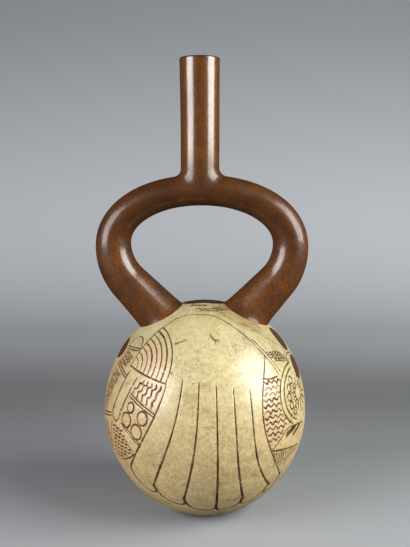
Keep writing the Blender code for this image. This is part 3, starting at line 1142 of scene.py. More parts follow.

# %% Grime left by handling, and painted shade
GRIME_AND_SHADE_SOFTNESS = 6.0
# Over the crown the darkening is painted shade; on the right shoulder and by the right foot it is dirt left
# by hands; at the far left it only makes the body darker.
SHADE_OVER_THE_CROWN = ((-25.0, 12.0), (25.0, 12.0), (45.0, 26.0), (90.0, 46.0), (60.0, 48.0), (20.0, 30.0),
                  (-20.0, 27.0))
RIGHT_SHOULDER = ((32.0, 36.0), (60.0, 42.0), (90.0, 50.0), (90.0, 68.0), (52.0, 68.0), (34.0, 54.0),
                  (28.0, 44.0))
BY_THE_RIGHT_FOOT = ((16.0, 11.0), (60.0, 11.0), (68.0, 36.0), (58.0, 46.0), (43.0, 43.0), (26.0, 27.0))
FAR_LEFT = ((-85.0, 50.0), (-52.0, 50.0), (-58.0, 100.0), (-44.0, 124.0), (-70.0, 132.0), (-90.0, 100.0))
GRIME_AND_SHADE_PATCHES = ((SHADE_OVER_THE_CROWN, 0.35), (RIGHT_SHOULDER, 0.4), (BY_THE_RIGHT_FOOT, 1.0), (FAR_LEFT, 0.35))
grime = np.zeros(len(points))
for outline, strength in GRIME_AND_SHADE_PATCHES:
    grime = np.maximum(grime, strength * soft_inside(np.array(outline), spots, GRIME_AND_SHADE_SOFTNESS))
print(f"{np.mean(grime > 0.1):.0%} of the points are darkened")

# %% [markdown]
# ## The body's place on the sheet
#
# A UV map could be unwrapped by Blender, but the body already has its own two numbers.  Its side is
# laid out by turn and down, in two strips so that no triangle runs over the sheet's edge.

# %% The body's place on the sheet
STRIP_LEFT = 3.0
STRIP_WIDE = 196.0
FRONT_STRIP = 1.0  # the lower edges of the two strips
BACK_STRIP = 190.0


def corner_turns(spots, triangles):
    """The turns of each triangle's corners, with no jump between 180 and -180 inside it."""
    turn = spots[triangles, 0]
    return turn[:, :1] + wrapped(turn - turn[:, :1])


def strip_corners(spots, triangles):
    """The body's side as two strips, front and back, each half a turn wide and laid one above
    the other.  A triangle goes whole to the strip that holds its middle."""
    turn = corner_turns(spots, triangles)
    middle = turn.mean(axis=1, keepdims=True)
    turn += wrapped(middle) - middle
    back = np.abs(wrapped(middle)) > 90.0
    turn = np.where(back, wrapped(turn + 180.0), turn)
    across = STRIP_LEFT + (turn + 90.0) * STRIP_WIDE / 180.0
    upwards = spots[triangles, 1] + np.where(back, BACK_STRIP, FRONT_STRIP)
    return np.stack((across, upwards), axis=-1)


keep_patch(points, triangles, strip_corners(spots, triangles), CREAM, ink=ink, paint=paint, blush=blush,
           grime=grime)

# %% [markdown]
# ## The stirrup's skin
#
# The tube is laid out flat as a strip: distance along it one way, angle round it the other.  The
# strip ends in the two seams and has an oval hole on top where the spout's foot grows out.  Rings
# of points crowd near all three openings, and Delaunay's rule joins them.  A Boolean modifier could
# cut the hole instead, but it would leave thin triangles and a hard crease.  The strip's cut runs
# along the inside of the arch, and it closes when the patches are welded.

# %% The strip with its hole
HOLE_SIDES = 72
ROUND = np.linspace(0.0, 2.0 * math.pi, HOLE_SIDES + 1)
STRIP_SCALE = 11.5 * DEGREE  # millimetres of clay in a degree round the tube
HALF_STRIP = 130.0  # more than an arm's length
SEAM_RINGS = (0.35, 0.9, 1.8)  # millimetres from the seams
HOLE_RINGS = (1.05, 1.12, 1.22)  # sizes, as shares of the hole's
SEAM_CLEAR = 2.6  # the plain grid keeps this far from the seams
HOLE_CLEAR = 1.3  # and outside this share of the hole's size
HOLE_REACH = (14.6, 15.4)  # how far the hole reaches to the left and the right
RED_SPACING = 1.6


def hole_rim(reach, share=1.0):
    """An oval on the strip: distance along by the cosine, angle round by the sine times 90."""
    wide = np.where(np.cos(ROUND) > 0.0, reach[1], reach[0])
    distance = SPOUT_SHIFT - STIRRUP_SHIFT + share * wide * np.cos(ROUND)
    return np.stack((distance, share * 90.0 * np.sin(ROUND)), axis=-1)


def between(places, seams, gap):
    """True for places on the strip that lie between its two seams, by more than a gap."""
    left, right = (np.interp(places[:, 1], LOOP_ANGLES, seams[side]) for side in (-1, 1))
    return (places[:, 0] > left + gap) & (places[:, 0] < right - gap)


def strip_grid(spacing):
    """Places all over the strip, with every second ring moved on by half a step."""
    sides = int(round(360.0 * STRIP_SCALE / spacing))
    columns = np.arange(-HALF_STRIP, HALF_STRIP, spacing)
    grid = np.stack(np.meshgrid(columns, np.linspace(-180.0, 180.0, sides + 1), indexing="ij"), axis=-1)
    grid[1::2, 1:-1, 1] += 180.0 / sides
    return grid.reshape(-1, 2)


def tube_patch(wall, seams, reach, spacing):
    """The strip's points, with rings near its openings, and its triangles."""
    loops = {side: np.stack((distances, LOOP_ANGLES), axis=-1) for side, distances in seams.items()}
    hole = hole_rim(reach)[:-1]
    rows = [loops[-1], loops[1], hole]
    for gap in SEAM_RINGS:
        rows += [loops[side] - (side * gap, 0.0) for side in (-1, 1)]
    rows += [hole_rim(reach, share)[:-1] for share in HOLE_RINGS]
    grid = strip_grid(spacing)
    rows.append(grid[between(grid, seams, SEAM_CLEAR) & ~holds(hole_rim(reach, HOLE_CLEAR)[:-1], grid)])
    spots = np.concatenate(rows)
    edges = tied([(LOOP_SIDES + 1, False), (LOOP_SIDES + 1, False), (HOLE_SIDES, True)])
    triangles = cut_triangles(spots * (1.0, STRIP_SCALE), edges)
    middle = spots[triangles].mean(axis=1)
    triangles = triangles[between(middle, seams, 0.0) & ~holds(hole, middle)]
    return spots, tube(spots[:, 0], spots[:, 1], wall), triangles


spots, points, triangles = tube_patch(0.0, outer_seams, HOLE_REACH, RED_SPACING)
strip_across = RED_COLUMN[0] + RED_COLUMN[1] * (spots[:, 1] + 180.0) / 360.0
strip = np.stack((strip_across, HALF_STRIP + spots[:, 0]), axis=-1)
keep_patch(points, triangles, strip[triangles], RED)
print(f"stirrup: {len(points)} points, {len(triangles)} triangles")

# %% [markdown]
# ## The spout and its foot
#
# The foot leaves the arch in the arch's own direction and turns smoothly upright into the spout.
# Each line of it is a cubic curve with both end points and both end directions given, so it meets
# the stirrup and the spout without a crease.  The spout itself is a plain turned tube whose lip is
# gently rounded, and the bore goes down inside it.  A Boolean union with a bevel could join the
# two as well, but here the join widens evenly, as clay does where it is smoothed by a finger.

# %% Foot, spout, lip and bore
LIP = 1.1
SPOUT_FLARE = 0.35
WEB_HEIGHTS = (3.2, 4.4)  # how far above the arch the foot ends, on the left and the right
FRONT_RISE = 0.6  # and how much further in front and behind
FOOT_PULL = 1.15  # how strongly both end directions are held
BORE_FOOT = 210.0
LIP_SHADE_FROM = 1.2  # the rim's painted shade begins this far below its top
LIP_SHADE_FADE = 0.35


def turned_wall(radius, height):
    """Carry radii and heights round the spout's axis, by the cosine and the sine of the angle."""
    radius, height, angle = np.broadcast_arrays(radius, height, ROUND)
    return np.stack((SPOUT_SHIFT + radius * np.cos(angle), radius * np.sin(angle), height), axis=-1)


def foot_grid(wall, reach, radius, ring_height, rows):
    """Cubic curves from the hole's rim to the spout's lowest ring."""
    rim = hole_rim(reach)
    base = tube(rim[:, 0], rim[:, 1], wall)
    centre = np.array((SPOUT_SHIFT - STIRRUP_SHIFT, 0.0))
    inner = centre + (rim - centre) * 0.999
    leave = tube(inner[:, 0], inner[:, 1], wall) - base
    leave /= np.linalg.norm(leave, axis=1)[:, None]
    top = turned_wall(radius, ring_height)
    size = FOOT_PULL * np.linalg.norm(top - base, axis=1)[:, None]
    rise = np.array((0.0, 0.0, 1.0))
    way = np.linspace(0.0, 1.0, rows)[:, None, None]
    return ((2 * way**3 - 3 * way**2 + 1) * base + (way**3 - 2 * way**2 + way) * size * leave
            + (3 * way**2 - 2 * way**3) * top + (way**3 - way**2) * size * rise)


side_on = np.cos(ROUND)
ring_height = ARCH_HEIGHT + ARCH_HALF_THICKNESS + np.where(side_on > 0.0, WEB_HEIGHTS[1], WEB_HEIGHTS[0])
ring_height += FRONT_RISE * (1.0 - side_on**2)
keep_grid(foot_grid(0.0, HOLE_REACH, SPOUT_RADIUS, ring_height, 14), RED_COLUMN, 262.0, 12.0, RED)

share = np.linspace(0.0, 1.0, 42)[:, None]
spout = turned_wall(SPOUT_RADIUS + SPOUT_FLARE * share**3, ring_height + share * (RIM - LIP - ring_height))
keep_grid(spout, RED_COLUMN, 276.0, 72.0, RED)

curl = np.radians(np.linspace(0.0, 90.0, 8))[:, None]
lip_radius = np.concatenate((SPOUT_RADIUS + SPOUT_FLARE - LIP + LIP * np.cos(curl),
                             BORE_RADIUS + LIP - LIP * np.sin(curl)))
lip = turned_wall(lip_radius, RIM - LIP + LIP * np.concatenate((np.sin(curl), np.cos(curl))))
# A dark band over the rounded top of the lip is painted shade; the red slip darkens it like its pits.
lip_shade = np.clip((lip[..., 2] - RIM + LIP_SHADE_FROM) / LIP_SHADE_FADE, 0.0, 1.0).ravel()
keep_grid(lip, RED_COLUMN, 350.0, 6.0, RED, ink=lip_shade)

share = np.linspace(0.0, 1.0, 30)[:, None]
bore = turned_wall(BORE_RADIUS, (RIM - LIP) + share * (BORE_FOOT - RIM + LIP))
keep_grid(bore, RED_COLUMN, 358.0, 18.0, RED)
print(f"the spout is {RIM - ring_height.min():.0f} mm tall above its foot")

# %% The underside
HOLLOW_RISE = 0.25  # how much higher the middle of the underside is
HOLLOW_EDGE = 3.0  # and over how much of its edge that begins


def disc(radius, height):
    """Rings about the body's axis, with their radii and heights, as many-sided as the foot."""
    turn = np.arange(FOOT_SIDES + 1) * 2.0 * math.pi / FOOT_SIDES - math.pi
    radius, height, turn = np.broadcast_arrays(radius, height, turn)
    return np.stack((radius * np.sin(turn), -radius * np.cos(turn), height), axis=-1)


def underside_grid():
    """A disc from the foot's ring to its middle, a hair higher in the middle than at the edge."""
    radius = np.linspace(FOOT_RADIUS, 0.0, 12)[:, None]
    edge = np.clip((FOOT_RADIUS - radius) / HOLLOW_EDGE, 0.0, 1.0)
    return disc(radius, HOLLOW_RISE * (1.0 - (radius / FOOT_RADIUS) ** 2) * edge)


underside = underside_grid()
triangles = grid_triangles(*underside.shape[:2])[:, ::-1]
underside = underside.reshape(-1, 3)
sheet = underside[:, :2] + (310.0, 22.0)
keep_patch(underside, triangles, sheet[triangles], CREAM)
print(f"underside: {len(triangles)} triangles")

# %% [markdown]
# ## The lining
#
# Inside, the clay is bare.  The chamber, the channels in both arms and the bore are the same
# shapes again, set in by the wall's thickness, with far fewer points because only the top of the
# bore can be seen.  A Solidify modifier could make the wall too, but it would copy every groove to
# the inside.  The inner triangles are turned round, so they face into the hollow.

# %% The inner patches
INNER_REACH = (10.5, 10.5)
LINING_SPACING = 5.0
CHANNEL_SPACING = 3.5
BARE_LEFT = 292.0  # the left edge of the lining's larger patches on the sheet

spots, points, flat, triangles = body_patch(lining, TUBE_WALL, inner_seams, LINING_SPACING, False)
across = BARE_LEFT + 80.0 * (corner_turns(spots, triangles) + 190.0) / 380.0
sheet = np.stack((across, 48.0 + 0.5 * spots[triangles, 1]), axis=-1)
keep_patch(points, triangles, sheet, BARE, inwards=True)

spots, points, triangles = tube_patch(TUBE_WALL, inner_seams, INNER_REACH, CHANNEL_SPACING)
across = BARE_LEFT + 40.0 * (spots[:, 1] + 180.0) / 360.0
sheet = np.stack((across, 150.0 + 0.5 * (spots[:, 0] + HALF_STRIP)), axis=-1)
keep_patch(points, triangles, sheet[triangles], BARE, inwards=True)

inner_foot = foot_grid(TUBE_WALL, INNER_REACH, BORE_RADIUS, BORE_FOOT, 6)
keep_grid(inner_foot, BARE_COLUMN, 150.0, 10.0, BARE, inwards=True)
chamber_floor = disc(np.linspace(lining.radius[-1], 0.0, 8)[:, None], BODY_WALL)
keep_grid(chamber_floor, BARE_COLUMN, 165.0, 10.0, BARE)
print(f"{len(patches)} patches, {sum(len(patch[1]) for patch in patches)} triangles")

# %% [markdown]
# ## One closed skin
#
# The patches share exact points where they meet, so points with the same rounded place become
# one.  Merge by Distance does that on a mesh; here the marks of the joined points are merged too.
# A hand-built pot is never quite true: a slow wave of about a tenth of a millimetre moves all the
# points together.  Normals are averages of the faces round a point, weighted by their area, which
# keeps the plain clay beside a groove flat and smooth.

# %% Weld the patches
SAME_PLACE = 0.002  # millimetres
WAVE_HEIGHT = 0.09
STEADY_BELOW = 6.0  # the wave fades out over this height above the ground


def weld(places):
    """Number the places so that equal ones, to SAME_PLACE, share a number."""
    keys = np.round(places / SAME_PLACE).astype(np.int64)
    _, first, number = np.unique(keys, axis=0, return_index=True, return_inverse=True)
    return first, number.ravel()


def hand_wave(places):
    """Slow sines of place, about a tenth of a millimetre high, that move every point a little."""
    x, y, z = places.T
    wave_x = np.sin(z / 17.0 + 0.4) + 0.6 * np.sin(y / 13.0 + z / 29.0)
    wave_y = np.sin(z / 21.0 + 1.9) + 0.6 * np.sin(x / 15.0 + 0.7)
    wave_z = np.sin(x / 19.0 + 2.2) * np.sin(y / 16.0 + 0.3)
    return WAVE_HEIGHT * np.stack((wave_x, wave_y, wave_z), axis=-1)


offsets = np.cumsum([0] + [len(patch[0]) for patch in patches])
places = np.concatenate([patch[0] for patch in patches])
triangles = np.concatenate([patch[1] + start for patch, start in zip(patches, offsets)])
sheet = np.concatenate([patch[2] for patch in patches])
finish = np.concatenate([np.full(len(patch[1]), patch[3]) for patch in patches])
marks = {name: np.concatenate([patch[4].get(name, np.zeros(len(patch[0]))) for patch in patches])
         for name in ("ink", "paint", "blush", "grime")}
first, number = weld(places)
places = places[first]
triangles = number[triangles]
whole = np.all(triangles != np.roll(triangles, -1, axis=1), axis=1)
triangles, sheet, finish = triangles[whole], sheet[whole], finish[whole]
order = np.argsort(number, kind="stable")
starts = np.concatenate(([0], np.cumsum(np.bincount(number))[:-1]))
marks = {name: np.maximum.reduceat(values[order], starts) for name, values in marks.items()}
print(f"{len(number)} points weld into {len(places)}")

# %% True up the skin and drop what isn't used
places += hand_wave(places) * np.clip(places[:, 2:] / STEADY_BELOW, 0.0, 1.0)
for axis in range(3):
    span = places[:, axis].min(), places[:, axis].max()
    places[:, axis] = np.interp(places[:, axis], span, (max(span[0], low[axis]), min(span[1], high[axis])))
used = np.unique(triangles)
fresh = np.full(len(places), -1)
fresh[used] = np.arange(len(used))
triangles, places = fresh[triangles], places[used]
marks = {name: values[used] for name, values in marks.items()}
edges = np.sort(np.concatenate((triangles[:, :2], triangles[:, 1:], triangles[:, ::2])), axis=1)
_, shared = np.unique(edges, axis=0, return_counts=True)
print(f"{len(places)} points, {len(triangles)} triangles, {np.sum(shared != 2)} edges not shared by two")

# %% Make the mesh


def skin_normals(places, triangles):
    """Unit sum, at each point, of its faces' normals times their areas."""
    corner = places[triangles]
    face = np.cross(corner[:, 1] - corner[:, 0], corner[:, 2] - corner[:, 0])
    total = [np.bincount(triangles.ravel(), np.repeat(part, 3), len(places)) for part in face.T]
    total = np.stack(total, axis=-1)
    return total / np.maximum(np.linalg.norm(total, axis=1), 1e-12)[:, None]


mesh = bpy.data.meshes.new("burnished_bottle")
mesh.vertices.add(len(places))
mesh.vertices.foreach_set("co", (places * MM).ravel())
mesh.loops.add(triangles.size)
mesh.loops.foreach_set("vertex_index", triangles.ravel())
mesh.polygons.add(len(triangles))
mesh.polygons.foreach_set("loop_start", np.arange(len(triangles)) * 3)
mesh.polygons.foreach_set("material_index", finish)
mesh.update(calc_edges=True)
mesh.validate()
sheet_map = mesh.uv_layers.new(name="OFBake")
sheet_map.data.foreach_set("uv", sheet.ravel())
for name, values in marks.items():
    attribute = mesh.attributes.new(name, "FLOAT", "POINT")
    attribute.data.foreach_set("value", values.astype(np.float32))
mesh.normals_split_custom_set_from_vertices(skin_normals(places, triangles))
bottle = bpy.data.objects.new("burnished_bottle", mesh)
bpy.context.scene.collection.objects.link(bottle)
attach(bottle, "root")
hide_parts(VESSEL)
print(f"{len(mesh.polygons)} faces in {bottle.name}")

# %% [markdown]
# ## Shader sums in Python
#
# A shader is a graph of nodes.  It could be wired by hand in the shader editor, which is clear for
# ten nodes and tiring for a hundred.  `Wire` wraps one socket so that sums on it read like plain
# arithmetic and add Math nodes behind the scenes, and `Finish` adds any other node in one call.

# %% Wires: sums on sockets


class Wire:
    """A socket that carries a number, with the arithmetic that the finishes use."""

    def __init__(self, finish, socket):
        self.finish, self.socket = finish, socket

    def sum(self, operation, *values, clamp=False):
        """Add one Math node over some numbers and wires."""
        node = self.finish.tree.nodes.new("ShaderNodeMath")
        node.operation, node.use_clamp = operation, clamp
        for socket, value in zip(node.inputs, values):
            self.finish.feed(socket, value)
        return Wire(self.finish, node.outputs[0])

    def __add__(self, other):
        return self.sum("ADD", self, other)

    def __sub__(self, other):
        return self.sum("SUBTRACT", self, other)

    def __rsub__(self, other):
        return self.sum("SUBTRACT", other, self)

    def __mul__(self, other):
        return self.sum("MULTIPLY", self, other)

    __radd__, __rmul__ = __add__, __mul__

    def most(self, other):
        """The greater of two."""
        return self.sum("MAXIMUM", self, other)

    def held(self):
        """The same, held between 0 and 1."""
        return self.sum("ADD", self, 0.0, clamp=True)

    def above(self, start, full):
        """0 at start and 1 at full, straight between."""
        return self.sum("MULTIPLY", self - start, 1.0 / (full - start), clamp=True)


# %% Finishes: materials and their nodes
OBJECT_COORDINATES = 3  # the number of that output on a Texture Coordinate node


class Finish:
    """A material, with one method that adds a node: its type, its settings, then its sockets."""

    def __init__(self, name):
        self.material = bpy.data.materials.new(name)
        self.material.use_nodes = True
        self.tree = self.material.node_tree
        self.shader = self.tree.nodes["Principled BSDF"]

    def feed(self, socket, value):
        """Link a wire or a socket to a socket, or set a plain value on it."""
        if isinstance(value, Wire):
            value = value.socket
        if isinstance(value, bpy.types.NodeSocket):
            self.tree.links.new(value, socket)
        else:
            socket.default_value = value

    def node(self, kind, settings=None, output=0, **sockets):
        """Add a node; sockets are named in lower case with _ for a space, or s0, s1 by number."""
        node = self.tree.nodes.new("ShaderNode" + kind)
        for key, value in (settings or {}).items():
            setattr(node, key, value)
        for key, value in sockets.items():
            number = key[1:]
            name = key.replace("_", " ").title()
            self.feed(node.inputs[int(number) if key[0] == "s" and number.isdigit() else name], value)
        return Wire(self, node.outputs[output])

    def height(self):
        """Metres above the ground."""
        where = self.node("TexCoord", output=OBJECT_COORDINATES)
        return self.node("SeparateXYZ", output=2, vector=where)

    def noise(self, size, detail=3.0, rough=0.5, stretch=(1.0, 1.0, 1.0)):
        """Cloudy noise with lumps about size mm across, on stretched Object coordinates."""
        where = self.node("TexCoord", output=OBJECT_COORDINATES)
        scale = tuple(1000.0 / size * part for part in stretch)
        vector = self.node("Mapping", scale=scale, vector=where)
        return self.node("TexNoise", scale=1.0, detail=detail, roughness=rough, vector=vector)

    def mark(self, name):
        """The value painted on the mesh under this name."""
        return self.node("Attribute", {"attribute_name": name}, output=2)

    def blend(self, share, first, second):
        """Mix two colours."""
        settings = {"data_type": "RGBA", "blend_type": "MIX", "clamp_factor": True}
        return self.node("Mix", settings, output=2, s0=share, s6=first, s7=second)

    def wear(self, sockets):
        """Feed the shader's own sockets, and return the finished material."""
        for name, value in sockets.items():
            self.feed(self.shader.inputs[name], value)
        return self.material


# %% [markdown]
# ## Cream slip
#
# The body's slip is a thin pale coat over warmer clay, rubbed to a low gloss.  It is never one
# colour: there are cloudy patches, faint strokes of the cloth that spread it, brown specks from
# the clay and a pink wash in the patterned panels.  The dark pigment lies in the grooves.  Each of
# these is a layer mixed over the last, as they are on the pot, and the low gloss is a rough coat.

# %% Cream slip with its picture
PALE_CREAM = (0.445, 0.435, 0.24, 1.0)
WARM_CREAM_WITH_PAINTED_LIGHT = (0.55, 0.43, 0.215, 1.0)
TAN_CLOUD = (0.34, 0.245, 0.115, 1.0)
OLIVE_STAIN = (0.17, 0.13, 0.055, 1.0)
GRIME_AND_SHADE_BROWN = (0.17, 0.105, 0.035, 1.0)
PINK_WASH = (0.50, 0.31, 0.19, 1.0)
PIGMENT = (0.038, 0.012, 0.001, 1.0)
SPOT_BROWN = (0.038, 0.012, 0.005, 1.0)
RELIEF = 0.0002  # metres that the finest bumps stand out


def cream_slip():
    """Clouds, smears and specks over cream with painted light below the belly, then wash, grime with
    painted shade, pigment and spots.
    """
    slip = Finish("cream slip")
    ink, paint, grime_and_shade_mark = slip.mark("ink"), slip.mark("paint"), slip.mark("grime")
    low_down = 1.0 - (slip.height() + 0.03 * slip.noise(30.0, 3.0)).above(0.060, 0.125)
    clouds = slip.noise(16.0, 6.0, 0.7).above(0.42, 0.66)
    smears = slip.noise(9.0, 5.0, 0.65, (0.4, 0.4, 2.0)).above(0.44, 0.72)
    grain = slip.noise(2.6, 5.0, 0.7)
    # Below the belly the cream turns warmer, and tan smears and olive crackle grow denser further down. The
    # warmer cream is also a little brighter than the pale one above: painted light on the lower body.
    colour = slip.blend(low_down, PALE_CREAM, WARM_CREAM_WITH_PAINTED_LIGHT)
    colour = slip.blend(clouds * 0.2, colour, TAN_CLOUD)
    colour = slip.blend(smears * (0.15 + 0.30 * low_down), colour, TAN_CLOUD)
    dirt = slip.noise(7.0, 5.0, 0.75).above(0.50, 0.70) * slip.noise(24.0, 2.0).above(0.44, 0.6)
    colour = slip.blend(dirt * 0.75, colour, OLIVE_STAIN)
    colour = slip.blend(grain.above(0.42, 0.64) * 0.6, colour, TAN_CLOUD)
    colour = slip.blend(slip.mark("blush") * 0.55, colour, PINK_WASH)
    # Brown darkening: dirt on the right shoulder and by the right foot, painted shade over the crown, and a
    # darker far left.
    grime_and_shade_share = grime_and_shade_mark * (0.45 + 0.5 * slip.noise(5.0, 4.0, 0.7).above(0.4, 0.65))
    colour = slip.blend(grime_and_shade_share, colour, GRIME_AND_SHADE_BROWN)
    crackle = slip.noise(1.1, 3.0, 0.6).above(0.45, 0.65)
    colour = slip.blend(crackle * (0.25 + 0.25 * low_down), colour, OLIVE_STAIN)
    specks = slip.noise(1.5, 2.0, 0.6).above(0.56, 0.66) * slip.noise(12.0, 2.0).above(0.46, 0.6)
    colour = slip.blend(specks * 0.8, colour, OLIVE_STAIN)
    worn = 1.0 - 0.12 * slip.noise(5.0, 3.0).above(0.5, 0.75)
    colour = slip.blend(ink * worn, colour, PIGMENT)
    colour = slip.blend(paint * 0.96, colour, SPOT_BROWN)
    polish = (0.9 - 0.25 * clouds - 0.9 * paint - 0.5 * grime_and_shade_mark).held()
    relief = grain * 1.2 + smears * 0.5 + slip.noise(7.0, 3.0) * 1.6 - specks * 0.5
    return slip.wear({
        "Base Color": colour,
        "Roughness": 0.5 + 0.1 * clouds + 0.3 * ink,
        "Specular IOR Level": 0.2,
        "Coat Weight": (1.0 - ink) * polish,
        "Coat Roughness": 0.33,
        "Coat IOR": 1.6,
        "Normal": slip.node("Bump", strength=0.4, distance=RELIEF, height=relief),
    })


# %% [markdown]
# ## Red-brown slip
#
# The arms and the spout wear a red-brown slip that was burnished with a smooth stone: glossy, with
# long faint strokes, orange where it is thin and maroon where it is thick, and small pits.  The
# gloss could be one number, but a hand can't press as hard near the feet or under the spout, so the
# coat changes with the height above the ground.

# %% Burnished red-brown slip
THIN_RED = (0.112, 0.038, 0.006, 1.0)
DEEP_RED = (0.030, 0.009, 0.0018, 1.0)
PIT_BROWN = (0.022, 0.010, 0.004, 1.0)
CLAY_DARK = (0.20, 0.09, 0.04, 1.0)
CLAY_LIGHT = (0.32, 0.16, 0.08, 1.0)


def red_slip():
    """Orange and maroon clouds, burnishing strokes and pits, with painted shade on the arch and on the
    lip; the spout is glossier than the arms.
    """
    slip = Finish("burnished red-brown slip")
    height = slip.height()
    on_spout = height.above(0.205, 0.225)
    on_arch = height.above(0.165, 0.190)
    clear_of_foot = height.above(0.117, 0.140)
    clouds = slip.noise(17.0, 4.0, 0.6).above(0.36, 0.66)
    strokes = slip.noise(5.0, 4.0, 0.6, (1.0, 1.0, 0.25)).above(0.4, 0.7)
    grain = slip.noise(1.8, 4.0, 0.65)
    colour = slip.blend(clouds * (0.75 - 0.6 * on_spout), THIN_RED, DEEP_RED)
    # The arch is darkened towards the deep red: painted shade on the arch, none on the spout.
    colour = slip.blend((0.35 * on_arch - 0.35 * on_spout).held(), colour, DEEP_RED)
    colour = slip.blend(strokes * 0.35, colour, DEEP_RED)
    colour = slip.blend(grain.above(0.46, 0.62) * 0.6, colour, PIT_BROWN)
    pits = slip.noise(1.3, 2.0, 0.5).above(0.66, 0.72) * slip.noise(12.0, 2.0).above(0.46, 0.58)
    # The mesh's mark on the red slip is the lip's painted shade, darkened like the pits.
    colour = slip.blend((pits * 0.8).most(slip.mark("ink")), colour, PIT_BROWN)
    gloss = 0.12 + 0.51 * clear_of_foot - 0.38 * on_arch + 0.63 * on_spout - 0.15 * strokes
    relief = slip.noise(6.0, 3.0) * 1.8 + grain * 2.4 - pits * 1.8
    return slip.wear({
        "Base Color": colour,
        "Roughness": 0.40 - 0.14 * on_spout + 0.08 * strokes + 0.7 * (grain - 0.5),
        "Specular IOR Level": 0.2,
        "Coat Weight": gloss.held(),
        "Coat Roughness": 0.19,
        "Coat IOR": 1.62,
        "Normal": slip.node("Bump", strength=0.6, distance=RELIEF, height=relief),
    })


def bare_clay():
    """Unslipped fired clay, warm and rough."""
    clay = Finish("bare fired clay")
    clouds = clay.noise(12.0, 4.0)
    return clay.wear({
        "Base Color": clay.blend(clouds, CLAY_DARK, CLAY_LIGHT),
        "Roughness": 0.75 + 0.15 * clouds,
    })


for material in (cream_slip(), red_slip(), bare_clay()):
    mesh.materials.append(material)
print(f"{len(mesh.materials)} finishes")

# %% [markdown]
# ## The studio
#
# The bottle stands on a pale grey sweep that curves up behind it.  Light and shade are painted into
# the paper's colour as a sum of three bell curves along the sweep: painted shade on the floor behind
# the bottle, painted light in the bend and a little painted shade where the wall begins.  More lights
# and flags could shade the paper so, but they would light the bottle too.  In a studio black cards
# would keep the pale paper out of the glossy clay; here the sweep is simply hidden from reflections.
# Two soft lights stand left and right of the camera.

# %% The sweep
BLACK = (0.0, 0.0, 0.0, 1.0)
PAPER = (0.475, 0.52, 0.58, 1.0)  # the colour at twice the plain tone
FLOOR_FRONT = -1.6
BEND_START = 0.55
BEND_RADIUS = 0.6
WALL_TOP = 2.6
HALF_WIDE = 2.6
# Painted shade on the floor behind the bottle and where the wall begins, and painted light in the bend.
PAINTED_LIGHT_AND_SHADE_BELLS = ((-0.57, 0.24, 0.17), (0.51, 0.90, 0.30), (-0.25, 1.50, 0.20))  # gain, place, width


def sweep_grid():
    """Floor, quarter circle and wall: a profile of (depth, height) carried sideways."""
    bend = np.radians(np.linspace(0.0, 90.0, 60))
    floor = np.linspace(FLOOR_FRONT, BEND_START, 80)[:-1]
    bend_depth = BEND_START + BEND_RADIUS * np.sin(bend)
    depth = np.concatenate((floor, bend_depth, bend_depth[-1:]))
    height = np.concatenate((np.zeros(len(floor)), BEND_RADIUS * (1.0 - np.cos(bend)), [WALL_TOP]))
    x, y = np.meshgrid(np.linspace(-HALF_WIDE, HALF_WIDE, 5), depth)
    return np.stack((x, y, np.broadcast_to(height[:, None], x.shape)), axis=-1)


def painted_light_and_shade_along(sweep):
    """The paper's painted shade and light on each row: 1 and a sum of bell curves of the distance along
    the sweep.
    """
    steps = np.linalg.norm(np.diff(sweep[:, 0, 1:], axis=0), axis=1)
    reach = FLOOR_FRONT + so_far(steps)
    return 1.0 + sum(gain * np.exp(-(((reach - at) / wide) ** 2)) for gain, at, wide in PAINTED_LIGHT_AND_SHADE_BELLS)


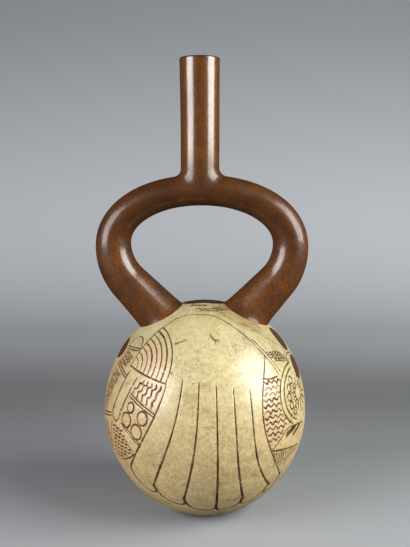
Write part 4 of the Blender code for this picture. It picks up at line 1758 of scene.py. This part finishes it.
sweep = sweep_grid()
sweep_mesh = bpy.data.meshes.new("sweep")
sweep_mesh.from_pydata(sweep.reshape(-1, 3).tolist(), [], grid_triangles(*sweep.shape[:2]).tolist())
sweep_mesh.shade_smooth()
shade = np.repeat(painted_light_and_shade_along(sweep), sweep.shape[1])
sweep_mesh.attributes.new("shade", "FLOAT", "POINT").data.foreach_set("value", shade.astype(np.float32))
paper = Finish("grey paper")
paper_colour = paper.blend(paper.mark("shade") * 0.5, BLACK, PAPER)
sweep_mesh.materials.append(paper.wear({"Base Color": paper_colour, "Roughness": 0.85}))
backdrop = bpy.data.objects.new("sweep", sweep_mesh)
bpy.context.scene.collection.objects.link(backdrop)
backdrop.visible_glossy = False
print(f"the paper's tone runs from {shade.min():.2f} to {shade.max():.2f}")

# %% Lights
AIM_HEIGHT = 0.13
SKY = (0.55, 0.60, 0.66, 1.0)
SKY_STRENGTH = 0.06


def softbox(name, turn, rise, distance, size, power, colour):
    """A big square light that looks at the bottle from a direction."""
    lamp = bpy.data.lights.new(name, "AREA")
    lamp.shape, lamp.size, lamp.size_y = "RECTANGLE", size, size
    lamp.energy, lamp.color = power, colour
    stand = bpy.data.objects.new(name, lamp)
    turn, rise = math.radians(turn), math.radians(rise)
    away = Vector((math.sin(turn) * math.cos(rise), -math.cos(turn) * math.cos(rise), math.sin(rise)))
    stand.location = Vector((0.0, 0.0, AIM_HEIGHT)) + away * distance
    stand.rotation_euler = away.to_track_quat("Z", "Y").to_euler()
    bpy.context.scene.collection.objects.link(stand)


softbox("left_light", -58.0, 18.0, 1.3, 0.85, 28.0, (1.0, 0.93, 0.90))
softbox("right_light", 70.0, 25.0, 1.2, 0.9, 37.0, (1.0, 0.965, 0.89))
world = bpy.data.worlds.new("room")
world.use_nodes = True
sky = world.node_tree.nodes["Background"]
sky.inputs["Color"].default_value = SKY
sky.inputs["Strength"].default_value = SKY_STRENGTH
bpy.context.scene.world = world
bpy.context.scene.view_settings.view_transform = "Standard"
print("two soft lights and a dim sky")

# %% The camera
EYE = (0.0, -0.4632, 0.2108)
EYE_DOWN = 7.557  # degrees below level
LENS = 49.36
SENSOR = 36.0
NEAR = 0.01

lens = bpy.data.cameras.new("eye")
lens.sensor_width, lens.lens = SENSOR, LENS
lens.clip_start = NEAR
eye = bpy.data.objects.new("eye", lens)
eye.location = EYE
eye.rotation_euler = (math.radians(90.0 - EYE_DOWN), 0.0, 0.0)
bpy.context.scene.collection.objects.link(eye)
bpy.context.scene.camera = eye
print(f"the camera stands {-1000.0 * EYE[1]:.0f} mm in front of the body's axis")
